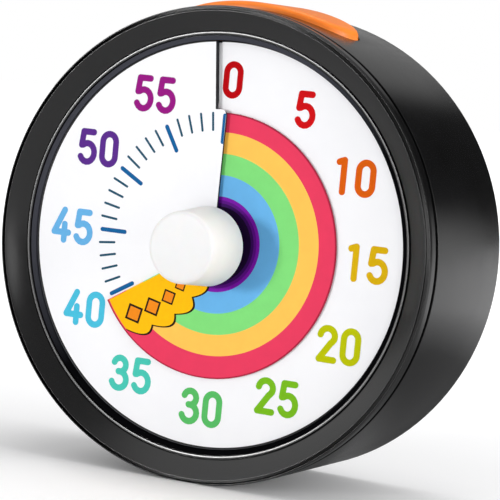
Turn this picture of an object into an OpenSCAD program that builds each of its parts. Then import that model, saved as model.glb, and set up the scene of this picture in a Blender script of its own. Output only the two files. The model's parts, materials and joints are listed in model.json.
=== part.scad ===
// Round countdown timer with a slotted dial and a coloured disc that winds out through the slot.
// Lengths are millimetres and angles are degrees. The dial faces -Y, +Z is up.
// Depths along Y are counted from the middle of the dial; seat() puts them into the part's frame.

/* [Case] */
// Outer diameter of the case tube and of the front ring
case_d = 80; // [76:1:100]
// Depth from the middle of the dial to the back rim
case_depth = 29.5; // [29:0.5:40]
// Wall of the case tube
case_wall = 2; // [1.6:0.1:2.2]
// Height of the slice that is cut off below, so that the case stands
flat_cut = 0.3; // [0.2:0.05:0.6]
// How far the grip pads stand out of that flat
pad_proud = 0.1; // [0.05:0.05:0.3]
// Width of each grip pad
pad_w = 9; // [7:0.5:9.5]
// Length of each grip pad along the case
pad_l = 8; // [5:0.5:9]
// Thickness of the inner wall that carries the dial and the movement
web_t = 1.5; // [1.2:0.1:2]

/* [Front ring] */
// Width of the sloped front face
ring_w = 4.4; // [3.5:0.1:6]
// Further width of the funnel wall between that face and the dial
funnel_w = 1.1; // [0.8:0.1:2]
// How far the outer front edge stands in front of the dial's middle
ring_front = 3; // [2:0.1:5]
// Height of the shadow gap between the front ring and the case tube
ring_gap = 0.7; // [0.4:0.1:1.2]

/* [Dial and disc] */
// Rise of the dial over one turn, which is the step at its slot
step = 1.2; // [1.1:0.05:1.6]
// Thickness of the dial sheet
dial_t = 0.45; // [0.4:0.05:0.5]
// Clearance between the dial's edge and the funnel wall
dial_gap = 0.3; // [0.2:0.05:0.6]
// Radius of the coloured disc
disc_r = 22.3; // [18:0.1:26]
// Thickness of the coloured disc
disc_t = 0.25; // [0.2:0.05:0.3]
// Gap between the coloured disc and the dial under it
disc_gap = 0.15; // [0.1:0.05:0.2]
// Minutes shown, where the disc's leading edge stands
minutes_set = 39.8; // [0:0.1:60]
// Angle of the outer part of the slot before the zero mark
slot_lead = 5; // [3:0.5:8]

/* [Knob] */
// Diameter of the knob at its open end, beside the dial
knob_d = 13.4; // [11:0.1:18]
// Diameter of the knob at its front
knob_front_d = 11.8; // [10:0.1:16]
// Length of the knob
knob_l = 9; // [8:0.1:12]
// Height of the knob's open end above the dial's middle
knob_lift = 3.3; // [3:0.1:5]
// Diameter of the spindle in its bearings
spindle_d = 4; // [3:0.1:4.8]
// How far the flatted stretch that drives the disc's hub stands out of the spindle
drive_step = 0.6; // [0.5:0.05:1]
// How far the flats of that stretch stand out of the spindle
flat_step = 0.1; // [0.05:0.05:0.3]

/* [Alarm button] */
// Length of the oval button across the case
button_l = 33; // [24:0.5:34]
// Width of the oval button along the case
button_w = 15.6; // [12:0.2:15.6]
// Height of the button above the case
button_proud = 1.2; // [0.8:0.1:2.5]
// Travel of the button
button_travel = 0.8; // [0.4:0.1:1]
// Clearance around the button in its hole
button_gap = 0.3; // [0.2:0.05:0.5]

/* [Movement] */
// Width of the movement housing
mov_w = 36; // [35:0.5:43]
// Depth of the movement housing along the spindle
mov_d = 12.6; // [12.4:0.1:15]
// Wall of the movement housing
mov_wall = 1; // [0.8:0.1:1.2]
// Tooth module of the centre wheel and the pinion that meets it
gear_m1 = 0.45; // [0.43:0.01:0.46]
// Tooth module of the third wheel and the pinion that meets it
gear_m2 = 0.36; // [0.34:0.01:0.38]
// Tooth module of the second wheel and the rotor's pinion
gear_m3 = 0.32; // [0.3:0.01:0.34]
// Teeth on each wheel
wheel_teeth = 40; // [36:2:42]
// Teeth on each pinion
pinion_teeth = 8; // [8:1:9]

/* [Battery] */
// Diameter of the cell
cell_d = 14.5; // [12:0.1:14.6]
// Length of the cell over its contact stud
cell_l = 50.5; // [44:0.1:50.8]

/* [Clearances] */
// Radial clearance of shafts in their bearings
run_gap = 0.05; // [0.02:0.01:0.1]
// Clearance of pieces that slide together by hand
fit_gap = 0.2; // [0.1:0.05:0.3]

/* [Hidden] */

$fn = 96;
eps = 0.01;
case_r = case_d / 2;
inner_r = case_r - case_wall;
y_front = -(knob_lift + knob_l);
y_mid = (case_depth + y_front) / 2;
z_axis = case_r - flat_cut + pad_proud;

// depths of the fixed planes
tube_y = 0.4;
spigot_y = 2.4;
web_y = 4.1;
web_back = web_y + web_t;
cover_t = 1.5;
cover_back = case_depth - 1;
cover_y = cover_back - cover_t;
plate_t = 1.2;
board_t = 1.2;
board_gap = 0.8;
buzzer_h = 2.5;
buzzer_gap = 0.3;
board_y = cover_y - buzzer_gap - buzzer_h - board_t;
mov_end = board_y - board_gap;
mov_back = mov_end - plate_t;
mov_y = mov_back - mov_d;

// dial
funnel_foot_r = case_r - ring_w - funnel_w;
dial_r = funnel_foot_r - dial_gap;
drive_r = spindle_d / 2 + drive_step;
hub_wall = 2;
hub_r = drive_r + hub_wall;
dial_hole_r = hub_r + 0.6;
lip_r = disc_r + 0.5;
lip_over = 0.5;
skirt_w = 1.2;
boss_ring_r = dial_r - 5;

// movement, X and Z are counted from the spindle
wheel_add = 0.8;
wheel_gap = 0.24;
mov_z0 = -(gear_m1 * (wheel_teeth / 2 + wheel_add) + wheel_gap + mov_wall);
mov_z1 = 26;
corner_r = 2.1;
corner_in = mov_wall + corner_r - 0.3;
corner_x = mov_w / 2 - corner_in;
corner_z0 = mov_z0 + corner_in;
corner_z1 = mov_z1 - corner_in;
corners = [[-corner_x, corner_z0], [corner_x, corner_z0], [-corner_x, corner_z1], [corner_x, corner_z1]];
mesh = (wheel_teeth + pinion_teeth) / 2;
third_a = 60;
second_a = 150;
rotor_a = 195;
third_p = mesh * gear_m1 * [cos(third_a), sin(third_a)];
second_p = third_p + mesh * gear_m2 * [cos(second_a), sin(second_a)];
rotor_p = second_p + mesh * gear_m3 * [cos(rotor_a), sin(rotor_a)];
pivot_r = 0.4;
arbor_r = 0.8;
centre_y = mov_back - 3.8;
third_y = centre_y - 3.3;
second_y = third_y - 2.4;
coil_x0 = -8.5;
coil_x1 = 2.8;
coil_r = 3;
coil_core_r = 1.5;
coil_flange = 0.7;
coil_z = mov_z1 - mov_wall - coil_r - 0.2;
coil_y = centre_y - 1.6;
stator_t = 1.2;

// board behind the movement
board_top = mov_z1 - 1;
arm_z0 = -9.5;
arm_z1 = -4;

// battery, lying across the case low down
cell_r = cell_d / 2;
cell_gap = 0.25;
bay_wall = 0.7;
bay_top = mov_z0 - 0.2;
cell_z = bay_top - bay_wall - cell_gap - cell_r;
cell_y = cover_y - 0.55 - cell_r;
stud_l = 1;
strip_t = 0.4;
spring_room = 1.7;
bay_half = (cell_l + 2 * strip_t + spring_room) / 2;
stud_end = -bay_half + strip_t;
can_x0 = stud_end + stud_l;
can_x1 = stud_end + cell_l;
bay_r = inner_r - 0.5;
door_r = bay_r - 0.9;
door_half = bay_half + 1.1;

// screws of the back
post_r = 3.4;
post_ring_r = inner_r + 0.2 - post_r;
post_side = acos((mov_w / 2 + post_r + 0.6) / post_ring_r);
post_low = 15;
post_angles = [post_side, 180 - post_side, 180 + post_low, 360 - post_low];
post_y = cover_y - 1.4;
pan_r = 2.3;
pan_h = 1.2;
pan_sink = pan_h + 0.2;
pan_shank_r = 0.97;
pan_pilot_r = pan_shank_r + 0.03;
pan_clear_r = pan_shank_r + 0.23;

// small screws inside: shank, pilot and clearance holes, head and its hole
shank_r = 0.87;
pilot_r = shank_r + 0.03;
clear_r = shank_r + 0.23;
head_r = 1.7;
head_h = 0.9;
head_hole_r = head_r + 0.2;
head_sink = 1;

// alarm button
button_y = mov_back - 8.9;
button_r = case_r + button_proud;
flange_w = 1;
flange_gap = 0.15;
flange_t = 1.6;
oval_power = 2.3;
spring_x = 10.5;
spring_r = 1.5;
wire_r = 0.2;
sw_board_z = mov_z1 + 1.2;
sw_z = sw_board_z + 1.2;
sw_h = 3.6;
plunger_top = sw_z + sw_h + button_travel + 0.6;

module seat() translate([0, -y_mid, z_axis]) children();

// turned shape from points of radius and depth
module lathe(points) rotate([-90, 0, 0]) rotate_extrude() polygon(points);

// rod along Y from depth y0 to y1, at p = [x, z]
module rod(r, y0, y1, p = [0, 0])
  translate([p[0], y0, p[1]]) rotate([-90, 0, 0]) cylinder(r = r, h = y1 - y0);

// flat outline in X and Z, given thickness from depth y0 to y1
module slab(y0, y1) translate([0, y1, 0]) rotate([90, 0, 0]) linear_extrude(y1 - y0) children();

module block(lo, hi) translate(lo) cube(hi - lo);

function arc(cx, cy, r, a0, a1, n = 5) =
  [for (i = [0:n]) cx_cy(cx, cy, r, a0 + (a1 - a0) * i / n)];
function cx_cy(cx, cy, r, a) = [cx + r * cos(a), cy + r * sin(a)];

// the flat that the case stands on
module stand_cut() {
  difference() {
    children();
    block([-case_r, -2 * case_depth, -2 * case_r], [case_r, 2 * case_depth, -(case_r - flat_cut)]);
  }
}

// ---- winding surfaces ----
// a = clock angle, clockwise from twelve as the dial is read
function clock_point(r, a, y) = [r * sin(a), y, r * cos(a)];
function dial_front(a) = step / 2 - step * a / 360;

// closed solid through a list of sections, each the same ring of points; the ends are fans from
// the first point, so that point sees all the others
module skin(sections) {
  m = len(sections);
  n = len(sections[0]);
  points = [for (s = sections) each s];
  sides = [for (i = [0:m - 2], j = [0:n - 1])
    let (a = i * n + j, b = i * n + (j + 1) % n, c = b + n, d = a + n) each [[a, b, c], [a, c, d]]];
  first = [for (j = [1:n - 2]) [0, j + 1, j]];
  last = [for (j = [1:n - 2]) [(m - 1) * n, (m - 1) * n + j, (m - 1) * n + j + 1]];
  polyhedron(points, concat(sides, first, last), convexity = 8);
}

// ---- gears ----
// straight-flanked teeth: widths are shares of the tooth pitch's half
function tooth(n, m, i, turn, wide, tip, root, add, ded) =
  let (rp = n * m / 2, c = 360 * i / n + turn, h = m * 90)
  [for (q = [[rp - ded * m, -root], [rp, -wide], [rp + add * m, -tip],
             [rp + add * m, tip], [rp, wide], [rp - ded * m, root]])
    let (a = c + q[1] * h / q[0]) q[0] * [cos(a), sin(a)]];

module wheel_teeth_flat(m, turn)
  polygon([for (i = [0:wheel_teeth - 1]) each tooth(wheel_teeth, m, i, turn, 0.46, 0.22, 0.5, wheel_add, 1)]);

module pinion_teeth_flat(m, turn)
  polygon([for (i = [0:pinion_teeth - 1]) each tooth(pinion_teeth, m, i, turn, 0.44, 0.2, 0.44, 0.7, 1.1)]);

// a wheel tooth points along the line of centres and a pinion gap faces it
wheel_pitch = 360 / wheel_teeth;
pinion_pitch = 360 / pinion_teeth;
third_turn = third_a + 180 + pinion_pitch / 2;
second_turn = second_a + 180 + pinion_pitch / 2;
rotor_turn = rotor_a + 180 + pinion_pitch / 2;

module arbor(p) {
  rod(pivot_r, mov_y + 0.6, mov_end - 0.6, p);
  rod(arbor_r, mov_y + 2.1, mov_back - 0.7, p);
}

// ---- case ----
module bezel_ring() {
  edge = 0.35;
  shoulder_r = case_r - 0.72;
  face_r = case_r - ring_w;
  face_y = -0.95;
  seat_y = tube_y - ring_gap;
  color("#3a3a3c") seat() stand_cut() lathe(concat(
    [[funnel_foot_r, 1], [funnel_foot_r, 0.75]],
    arc(face_r + 0.16, face_y + 0.16, 0.2, 205, 290, 4),
    arc(shoulder_r - edge, -ring_front + edge, edge, 250, 360),
    [[shoulder_r, -ring_front + 0.75], [shoulder_r - 0.5, -ring_front + 0.85],
     [shoulder_r - 0.5, -ring_front + 1.1]],
    arc(case_r - 0.3, -ring_front + 1.4, 0.3, 270, 360),
    [[case_r, seat_y - 0.15], [case_r - 0.15, seat_y], [inner_r - 0.1, seat_y],
     [inner_r - 0.1, spigot_y], [inner_r - 1.5, spigot_y], [inner_r - 1.5, 1]]));
}

module button_outline(grow) {
  a = button_l / 2 + grow;
  b = button_w / 2 + grow;
  polygon([for (i = [0:59]) let (t = 6 * i, c = cos(t), s = sin(t))
    [a * sign(c) * pow(abs(c), 2 / oval_power), b * sign(s) * pow(abs(s), 2 / oval_power)]]);
}

// upright prism of the button's oval
module button_prism(grow, z0, z1) translate([0, button_y, z0]) linear_extrude(z1 - z0) button_outline(grow);

module case_barrel() {
  edge = 1.2;
  ledge_w = 2;
  bay_z = inner_r - flange_gap - flange_t - button_travel - 3.2;
  color("#1c1c1e") seat() difference() {
    union() {
      stand_cut() lathe(concat(
        [[inner_r, tube_y], [case_r - 0.2, tube_y], [case_r, tube_y + 0.2]],
        arc(case_r - edge, case_depth - edge, edge, 0, 90),
        [[inner_r + 0.3, case_depth], [inner_r, case_depth - 0.3]]));
      lathe([[inner_r - ledge_w, spigot_y], [inner_r + 0.5, spigot_y], [inner_r + 0.5, web_back],
        [6, web_back], [6, web_y], [inner_r - ledge_w, web_y]]);
      for (a = post_angles)
        rod(post_r, web_back - 0.5, post_y, post_ring_r * [cos(a), sin(a)]);
      for (p = corners) rod(2.6, web_back - 0.5, mov_y, p);
    }
    button_prism(button_gap, bay_z + 2, case_r + 5);
    intersection() {
      button_prism(flange_w + 0.5, bay_z, inner_r);
      rod(inner_r, tube_y, case_depth);
    }
    for (a = post_angles) rod(pan_pilot_r, post_y - 8, post_y + 1, post_ring_r * [cos(a), sin(a)]);
    for (p = corners) {
      rod(head_hole_r, web_y - 1, web_y + head_sink, p);
      rod(clear_r, web_y - 1, mov_y + 1, p);
    }
    for (i = [0:2]) {
      rod(clear_r, web_y - 1, web_back + 1, boss_point(i));
      rod(head_hole_r, web_back - dial_sink, web_back + 1, boss_point(i));
    }
    for (y = pad_starts) block([-pad_w / 2, y, -case_r], [pad_w / 2, y + pad_l, -case_r + 1]);
  }
}

dial_sink = 0.4;
pad_starts = [4, case_depth - 3.5 - pad_l];

module grip_pads() {
  z0 = -(case_r - flat_cut) - pad_proud;
  color("#262626") seat() for (y = pad_starts)
    block([-pad_w / 2, y, z0], [pad_w / 2, y + pad_l, -case_r + 1]);
}

// outline of the battery door, or of its opening when grown
module door_flat(grow) intersection() {
  translate([-door_half - grow, cell_z - cell_r - 0.1 - grow])
    square([2 * (door_half + grow), cell_d + 0.2 + 2 * grow]);
  circle(door_r + grow);
}

module rear_cover() {
  bay_front = cell_y - cell_r - cell_gap - 0.9;
  bay_low = cell_z - cell_r - cell_gap - bay_wall;
  tab_y = [board_y - 1.5, board_y + 1.5];
  color("#1e1e20") seat() difference() {
    union() {
      rod(inner_r - fit_gap, cover_y, cover_back);
      for (a = post_angles) intersection() {
        rod(post_r, post_y, cover_back, post_ring_r * [cos(a), sin(a)]);
        rod(inner_r - fit_gap, post_y, cover_back);
      }
      intersection() {
        block([-bay_half - 1, bay_front, bay_low], [bay_half + 1, cover_y, bay_top]);
        rod(bay_r, bay_front, cover_y);
      }
    }
    slab(cover_y, cover_back + 1) door_flat(0.15);
    // trough for the cell, open towards the back
    translate([can_x0 - 0.2, cell_y, cell_z]) rotate([0, 90, 0])
      cylinder(r = cell_r + cell_gap, h = can_x1 - can_x0 + 0.4);
    block([can_x0 - 0.2, cell_y, cell_z - cell_r - cell_gap],
      [can_x1 + 0.2, cover_back, cell_z + cell_r + cell_gap]);
    block([-bay_half, cell_y - 5, cell_z - 4.5], [bay_half, cover_y + 1, cell_z + 5]);
    // slots where the contact strips leave upwards
    for (x = [-bay_half, bay_half - strip_t])
      block([x - 0.1, tab_y[0] - 0.1, cell_z], [x + strip_t + 0.1, tab_y[1] + 0.1, bay_top + 1]);
    for (a = post_angles) {
      rod(pan_clear_r, post_y - 1, cover_back, post_ring_r * [cos(a), sin(a)]);
      rod(pan_r + 0.3, cover_back - pan_sink, cover_back + 1, post_ring_r * [cos(a), sin(a)]);
    }
    // sound holes in front of the buzzer
    for (ring = [[0, 1], [3, 6], [6, 12]], i = [0:ring[1] - 1])
      let (a = 360 * i / ring[1])
      rod(0.7, cover_y - 1, cover_back + 1, buzzer_p + ring[0] * [cos(a), sin(a)]);
  }
}

module battery_door() {
  color("#1a1a1c") seat() difference() {
    slab(cover_y + 0.05, cover_back) door_flat(0);
    // finger grip with three ribs
    difference() {
      block([-6, cover_back - 0.6, cell_z - 3.2], [6, cover_back + 1, cell_z + 3.2]);
      for (i = [-1:1])
        block([-5, cover_back - 1, cell_z + 2 * i - 0.35], [5, cover_back, cell_z + 2 * i + 0.35]);
    }
  }
}

// ---- dial and disc ----
function boss_point(i) = boss_ring_r * [sin(boss_clock(i)), cos(boss_clock(i))];
function boss_clock(i) = 60 + 120 * i;

// section of the dial, from its inner corner on: a thin sheet with a skirt below its rim
function dial_section(a, rim, foot, w) =
  let (y = dial_front(a), back = y + dial_t, low = max(foot, back))
  [for (q = [[rim - 2 * w, back], [dial_hole_r, back], [dial_hole_r, y],
             [rim, y], [rim, low], [rim - w, low]]) clock_point(q[0], a, q[1])];

module dial_plate() {
  low = -(slot_lead - 1);
  high = 360 - slot_lead;
  count = 90;
  round_r = 1;
  lip_end = 360 + lip_over;
  // the lip's corner is rounded; k is the distance from the radial end
  corner = [for (i = [0:4]) let (t = 22.5 * i)
    [lip_end - (1 - sin(t)) * round_r / lip_r * 57.3, lip_r - (1 - cos(t)) * round_r]];
  color("#fbfbfb") seat() difference() {
    union() {
      skin(concat(
        [for (i = [0:count]) dial_section(low + (high - low) * i / count, dial_r, web_y, skirt_w)],
        [for (a = [high + 0.3, high + 1.6]) dial_section(a, lip_r, -step, 0.3)],
        [for (c = corner) dial_section(c[0], c[1], -step, 0.3)]));
      for (i = [0:2]) rod(2.2, dial_front(boss_clock(i)) + dial_t / 2, web_y, boss_point(i));
    }
    for (i = [0:2]) rod(pilot_r, web_y - 2.4, web_y + 1, boss_point(i));
  }
}

module rainbow_disc() {
  lead = 6 * minutes_set;
  span = 365;
  count = 120;
  color("#f03c60") seat() skin([for (i = [0:count])
    let (a = lead - span + span * i / count, y = dial_front(a) - disc_gap)
    [clock_point(hub_r, a, y - disc_t), clock_point(disc_r, a, y - disc_t),
     clock_point(disc_r, a, y), clock_point(hub_r, a, y)]]);
}

// round with two flats, the driving shape of spindle and hub
module drive_flat(gap) intersection() {
  circle(drive_r + gap);
  square([2 * drive_r + 1, spindle_d + 2 * flat_step + 2 * gap], center = true);
}

module disc_carrier() {
  color("#6a2090") seat() difference() {
    rod(hub_r, -1.1, 2);
    slab(-2, 3) drive_flat(run_gap);
  }
}

// ---- knob and spindle ----
module setting_knob() {
  base_r = knob_d / 2;
  front_r = knob_front_d / 2;
  wall = 1.1;
  edge = 0.9;
  y1 = -knob_lift;
  core_r = spindle_d / 2 + 1.3;
  color("#ffffff") seat() difference() {
    lathe(concat([[0, y_front]], arc(front_r - edge, y_front + edge, edge, 270, 355),
      arc(base_r - 0.25, y1 - 0.25, 0.25, 0, 90, 3),
      [[base_r - wall, y1], [front_r - wall - 0.1, y_front + 2], [core_r, y_front + 2],
       [core_r, y1 + 0.2], [0, y1 + 0.2]]));
    rod(spindle_d / 2, y_front + 1.8, y1 + 1);
  }
}

module spindle() {
  r = spindle_d / 2;
  collar_y = centre_y - 1.6;
  color("#b9bcc0") seat() difference() {
    union() {
      rod(r, y_front + 1.8, mov_end + 0.4);
      slab(-knob_lift + 0.8, web_y + 0.3) drive_flat(0);
      rod(r + 1, collar_y, collar_y + 0.6);
    }
    lathe([[r - 0.3, clip_y], [r + 1, clip_y], [r + 1, clip_y + clip_t], [r - 0.3, clip_y + clip_t]]);
  }
}

hub_y0 = centre_y - 0.95;
hub_y1 = centre_y + 1.95;
washer_t = 0.3;
clip_r = spindle_d / 2 + 1.1;
clip_y = hub_y1 + 0.05 + washer_t;
clip_t = 0.6;

module clutch_washer() {
  color("#d8c060") seat() difference() {
    rod(clip_r, hub_y1 + 0.05, clip_y);
    rod(spindle_d / 2 + 0.02, hub_y1 - 1, clip_y + 1);
  }
}

module spindle_clip() {
  r = spindle_d / 2 - 0.3;
  color("#707478") seat() difference() {
    rod(clip_r, clip_y, clip_y + clip_t);
    rod(r, clip_y - 1, clip_y + clip_t + 1);
    block([-r, clip_y - 1, -clip_r - 1], [r, clip_y + clip_t + 1, 0]);
  }
}

// ---- movement ----
module housing_flat(inset) translate([-mov_w / 2 + inset, mov_z0 + inset])
  square([mov_w - 2 * inset, mov_z1 - mov_z0 - 2 * inset]);

module movement_base() {
  color("#e8e4da") seat() difference() {
    union() {
      difference() {
        slab(mov_y, mov_back) housing_flat(0);
        slab(mov_y + plate_t, mov_back + 1) housing_flat(mov_wall);
      }
      for (p = corners) rod(corner_r, mov_y + 0.5, mov_back, p);
      for (p = [third_p, second_p, rotor_p]) rod(1.3, mov_y + 0.5, mov_y + 2, p);
      rod(spindle_d / 2 + 1.2, mov_y + 0.5, mov_y + 4.4);
      for (x = [-spring_x, spring_x])
        translate([x, button_y, mov_z1 - 0.2]) cylinder(r = spring_r - wire_r - 0.15, h = 3);
      for (x = [-6, 6]) block([x - 1, mov_y, mov_z1 - 0.2], [x + 1, mov_y + 9, sw_board_z]);
    }
    rod(spindle_d / 2 + run_gap, mov_y - 1, mov_y + 6);
    for (p = [third_p, second_p, rotor_p]) rod(pivot_r + run_gap, mov_y + 0.5, mov_y + 3, p);
    for (p = corners) rod(pilot_r, mov_y - 1, mov_y + 4, p);
    for (p = corners) rod(pilot_r, mov_back - 4, mov_back + 1, p);
  }
}

module movement_cover() {
  color("#dcd8ce") seat() difference() {
    union() {
      slab(mov_back, mov_end) housing_flat(0);
      for (p = [third_p, second_p, rotor_p]) rod(1.3, mov_back - 0.6, mov_back + 0.5, p);
      for (x = [-9, 9], z = [-6, board_top - 3]) rod(1.4, mov_end - 0.2, board_y, [x, z]);
    }
    rod(spindle_d / 2 + run_gap, mov_back - 1, mov_end + 1);
    for (p = [third_p, second_p, rotor_p]) rod(pivot_r + run_gap, mov_back - 1, mov_end - 0.5, p);
    for (p = corners) rod(clear_r, mov_back - 1, mov_end + 1, p);
  }
}

module centre_wheel() {
  color("#e8c84a") seat() difference() {
    union() {
      slab(centre_y, centre_y + 1) wheel_teeth_flat(gear_m1, third_a);
      rod(spindle_d / 2 + 1.4, hub_y0, hub_y1);
    }
    rod(spindle_d / 2 + run_gap, hub_y0 - 1, hub_y1 + 1);
  }
}

module third_wheel() {
  color("#e6e6e0") seat() {
    slab(third_y, third_y + 0.8) translate(third_p) wheel_teeth_flat(gear_m2, second_a);
    slab(third_y + 0.8, centre_y + 1.4) translate(third_p) pinion_teeth_flat(gear_m1, third_turn);
    arbor(third_p);
  }
}

module second_wheel() {
  color("#e6e6e0") seat() {
    slab(second_y, second_y + 0.8) translate(second_p) wheel_teeth_flat(gear_m3, rotor_a);
    slab(second_y + 0.8, third_y + 1.3) translate(second_p) pinion_teeth_flat(gear_m2, second_turn);
    arbor(second_p);
  }
}

module rotor() {
  color("#8c8f94") seat() {
    slab(second_y - 0.7, second_y + 1.6) translate(rotor_p) pinion_teeth_flat(gear_m3, rotor_turn);
    rod(2.6, coil_y - 2, coil_y + 2, rotor_p);
    arbor(rotor_p);
  }
}

module stator() {
  x = rotor_p[0];
  z = rotor_p[1];
  half = 4.7;
  strip = 1.6;
  color("#9a9ea3") seat() difference() {
    slab(coil_y - stator_t / 2, coil_y + stator_t / 2) {
      translate([x - half, z - half]) square(2 * half);
      translate([coil_x0 - 3, z]) square([2.8, coil_z + strip / 2 - z]);
      translate([x + 2.5, z + half - 1]) square([2.2, 3]);
      translate([x + 2.5, z + half + 0.8]) square([coil_x1 + 3 - x - 2.5, strip]);
      translate([coil_x1 + 0.2, z + half + 0.8]) square([2.8, coil_z + strip / 2 - z - half - 0.8]);
      translate([coil_x0 - 1, coil_z - strip / 2]) square([coil_x1 - coil_x0 + 2, strip]);
    }
    rod(3.5, coil_y - 2, coil_y + 2, rotor_p);
  }
}

module coil_tube(x0, x1, r) translate([x0, coil_y, coil_z]) rotate([0, 90, 0]) cylinder(r = r, h = x1 - x0);

module coil_bobbin() {
  color("#2f7d4f") seat() difference() {
    union() {
      coil_tube(coil_x0, coil_x1, coil_core_r);
      coil_tube(coil_x0, coil_x0 + coil_flange, coil_r);
      coil_tube(coil_x1 - coil_flange, coil_x1, coil_r);
    }
    block([coil_x0 - 1, coil_y - 0.7, coil_z - 0.9], [coil_x1 + 1, coil_y + 0.7, coil_z + 0.9]);
  }
}

module coil_winding() {
  color("#b5652a") seat() difference() {
    coil_tube(coil_x0 + coil_flange, coil_x1 - coil_flange, coil_r - 0.3);
    coil_tube(coil_x0, coil_x1, coil_core_r);
  }
}

// ---- board, buzzer and battery ----
buzzer_p = [0, 13];
buzzer_r = 8;

module circuit_board() {
  arm = bay_half - strip_t - 0.05;
  color("#1f6b3a") seat() slab(board_y, board_y + board_t) {
    translate([-mov_w / 2 + 2, arm_z0]) square([mov_w - 4, board_top - arm_z0]);
    translate([-arm, arm_z0]) square([2 * arm, arm_z1 - arm_z0]);
  }
}

module control_chip() {
  color("#202225") seat() block([-12.5, board_y + board_t, -7], [-5.5, board_y + board_t + 1.2, 0]);
}

module buzzer() {
  color("#2a2a2c") seat() difference() {
    rod(buzzer_r, board_y + board_t, cover_y - buzzer_gap, buzzer_p);
    rod(1, cover_y - 1, cover_y, buzzer_p);
  }
}

module battery() {
  color("#7a8f3a") seat() translate([can_x0, cell_y, cell_z]) rotate([0, 90, 0]) {
    cylinder(r = cell_r, h = can_x1 - can_x0);
    translate([0, 0, -stud_l]) cylinder(r = 2.7, h = stud_l + eps);
  }
}

// flat strip at one end of the bay, with a tab that reaches the board's arm
module contact_strip(x) {
  block([x, cell_y - 4.5, cell_z - 4], [x + strip_t, cell_y + 4.5, cell_z + 4.5]);
  block([x, board_y - 1.5, cell_z], [x + strip_t, board_y + 1.5, arm_z1 - 1]);
}

module contact_plate() {
  color("#c9ccd0") seat() contact_strip(-bay_half);
}

// round wire wound about an axis along X or Z; pitch may shrink the radius from r0 to r1
function wound(turns, r0, r1, length, wire, sides = 6, per = 14) =
  [for (i = [0:turns * per]) let (u = i / (turns * per), a = 360 * i / per, r = r0 + (r1 - r0) * u)
    [for (k = [0:sides - 1]) let (b = 360 * k / sides, q = r + wire * cos(b))
      [q * cos(a), q * sin(a), wire + (length - 2 * wire) * u + wire * sin(b)]]];

module contact_spring() {
  color("#c9ccd0") seat() {
    contact_strip(bay_half - strip_t);
    translate([can_x1, cell_y, cell_z]) rotate([0, 90, 0])
      skin(wound(3, 2.2, 4, spring_room, 0.22));
  }
}

// ---- alarm button ----
module button_shell(grow, r0, r1) intersection() {
  button_prism(grow, 20, case_r + 8);
  difference() {
    rod(r1, 0, case_depth);
    rod(r0, -1, case_depth + 1);
  }
}

module alarm_button() {
  flange_r = inner_r - flange_gap;
  color("#ff8228") seat() {
    button_shell(0, flange_r - flange_t, button_r);
    button_shell(flange_w, flange_r - flange_t, flange_r);
    translate([0, button_y, plunger_top]) cylinder(r = 2, h = flange_r - flange_t + 0.8 - plunger_top);
    for (x = [-spring_x, spring_x]) translate([x, button_y, plunger_top])
      cylinder(r = 2.1, h = sqrt(pow(flange_r - flange_t, 2) - x * x) + 1 - plunger_top);
  }
}

module button_springs() {
  color("#c9ccd0") seat() for (x = [-spring_x, spring_x])
    translate([x, button_y, mov_z1]) skin(wound(5, spring_r, spring_r, plunger_top - mov_z1, wire_r));
}

module switch_board() {
  color("#1f6b3a") seat() block([-8, button_y - 5.8, sw_board_z], [8, button_y + 5.8, sw_z]);
}

module tact_switch() {
  color("#303236") seat() difference() {
    block([-3, button_y - 3, sw_z], [3, button_y + 3, sw_z + sw_h]);
    translate([0, button_y, plunger_top - 2.4 - button_travel - 0.2]) cylinder(r = 1.7 + run_gap, h = 9);
  }
}

module switch_plunger() {
  color("#d8d8d8") seat() translate([0, button_y, plunger_top - 2.4]) cylinder(r = 1.7, h = 2.4);
}

// ---- fasteners ----
// pan head with a cross recess; the shank points towards +Y and the head towards -Y
module screw(p, y, pan, high, shank, length) translate([p[0], y, p[1]]) difference() {
  union() {
    rod(pan, -high, 0);
    rod(shank, -eps, length);
  }
  for (t = [0, 90]) rotate([0, t, 0])
    block([-pan * 0.65, -high - 1, -pan * 0.13], [pan * 0.65, -high * 0.45, pan * 0.13]);
}

// the same screw seen from the back
module screw_back(p, y, pan, high, shank, length)
  translate([0, y, 0]) mirror([0, 1, 0]) screw(p, 0, pan, high, shank, length);

module rear_screws() {
  color("#8a8d92") seat() for (a = post_angles)
    screw_back(post_ring_r * [cos(a), sin(a)], cover_back - pan_sink, pan_r, pan_h, pan_shank_r, 8);
}

module movement_screws() {
  color("#8a8d92") seat() for (p = corners) 
    screw(p, web_y + head_sink, head_r, head_h, shank_r, mov_y + 3 - web_y - head_sink);
}

module cover_screws() {
  color("#8a8d92") seat() for (p = corners) screw_back(p, mov_end, head_r, 0.7, shank_r, 4);
}

module dial_screws() {
  color("#8a8d92") seat() for (i = [0:2])
    screw_back(boss_point(i), web_back - dial_sink, head_r, head_h, shank_r, 3);
}

bezel_ring();
case_barrel();
rear_cover();
battery_door();
dial_plate();
rainbow_disc();
disc_carrier();
setting_knob();
spindle();
spindle_clip();
clutch_washer();
movement_base();
movement_cover();
centre_wheel();
third_wheel();
second_wheel();
rotor();
stator();
coil_bobbin();
coil_winding();
circuit_board();
control_chip();
buzzer();
battery();
contact_plate();
contact_spring();
alarm_button();
button_springs();
tact_switch();
switch_plunger();
switch_board();
rear_screws();
movement_screws();
cover_screws();
dial_screws();
grip_pads();
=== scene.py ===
import json
import math

import bmesh
import bpy
from mathutils import Matrix, Quaternion, Vector


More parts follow.
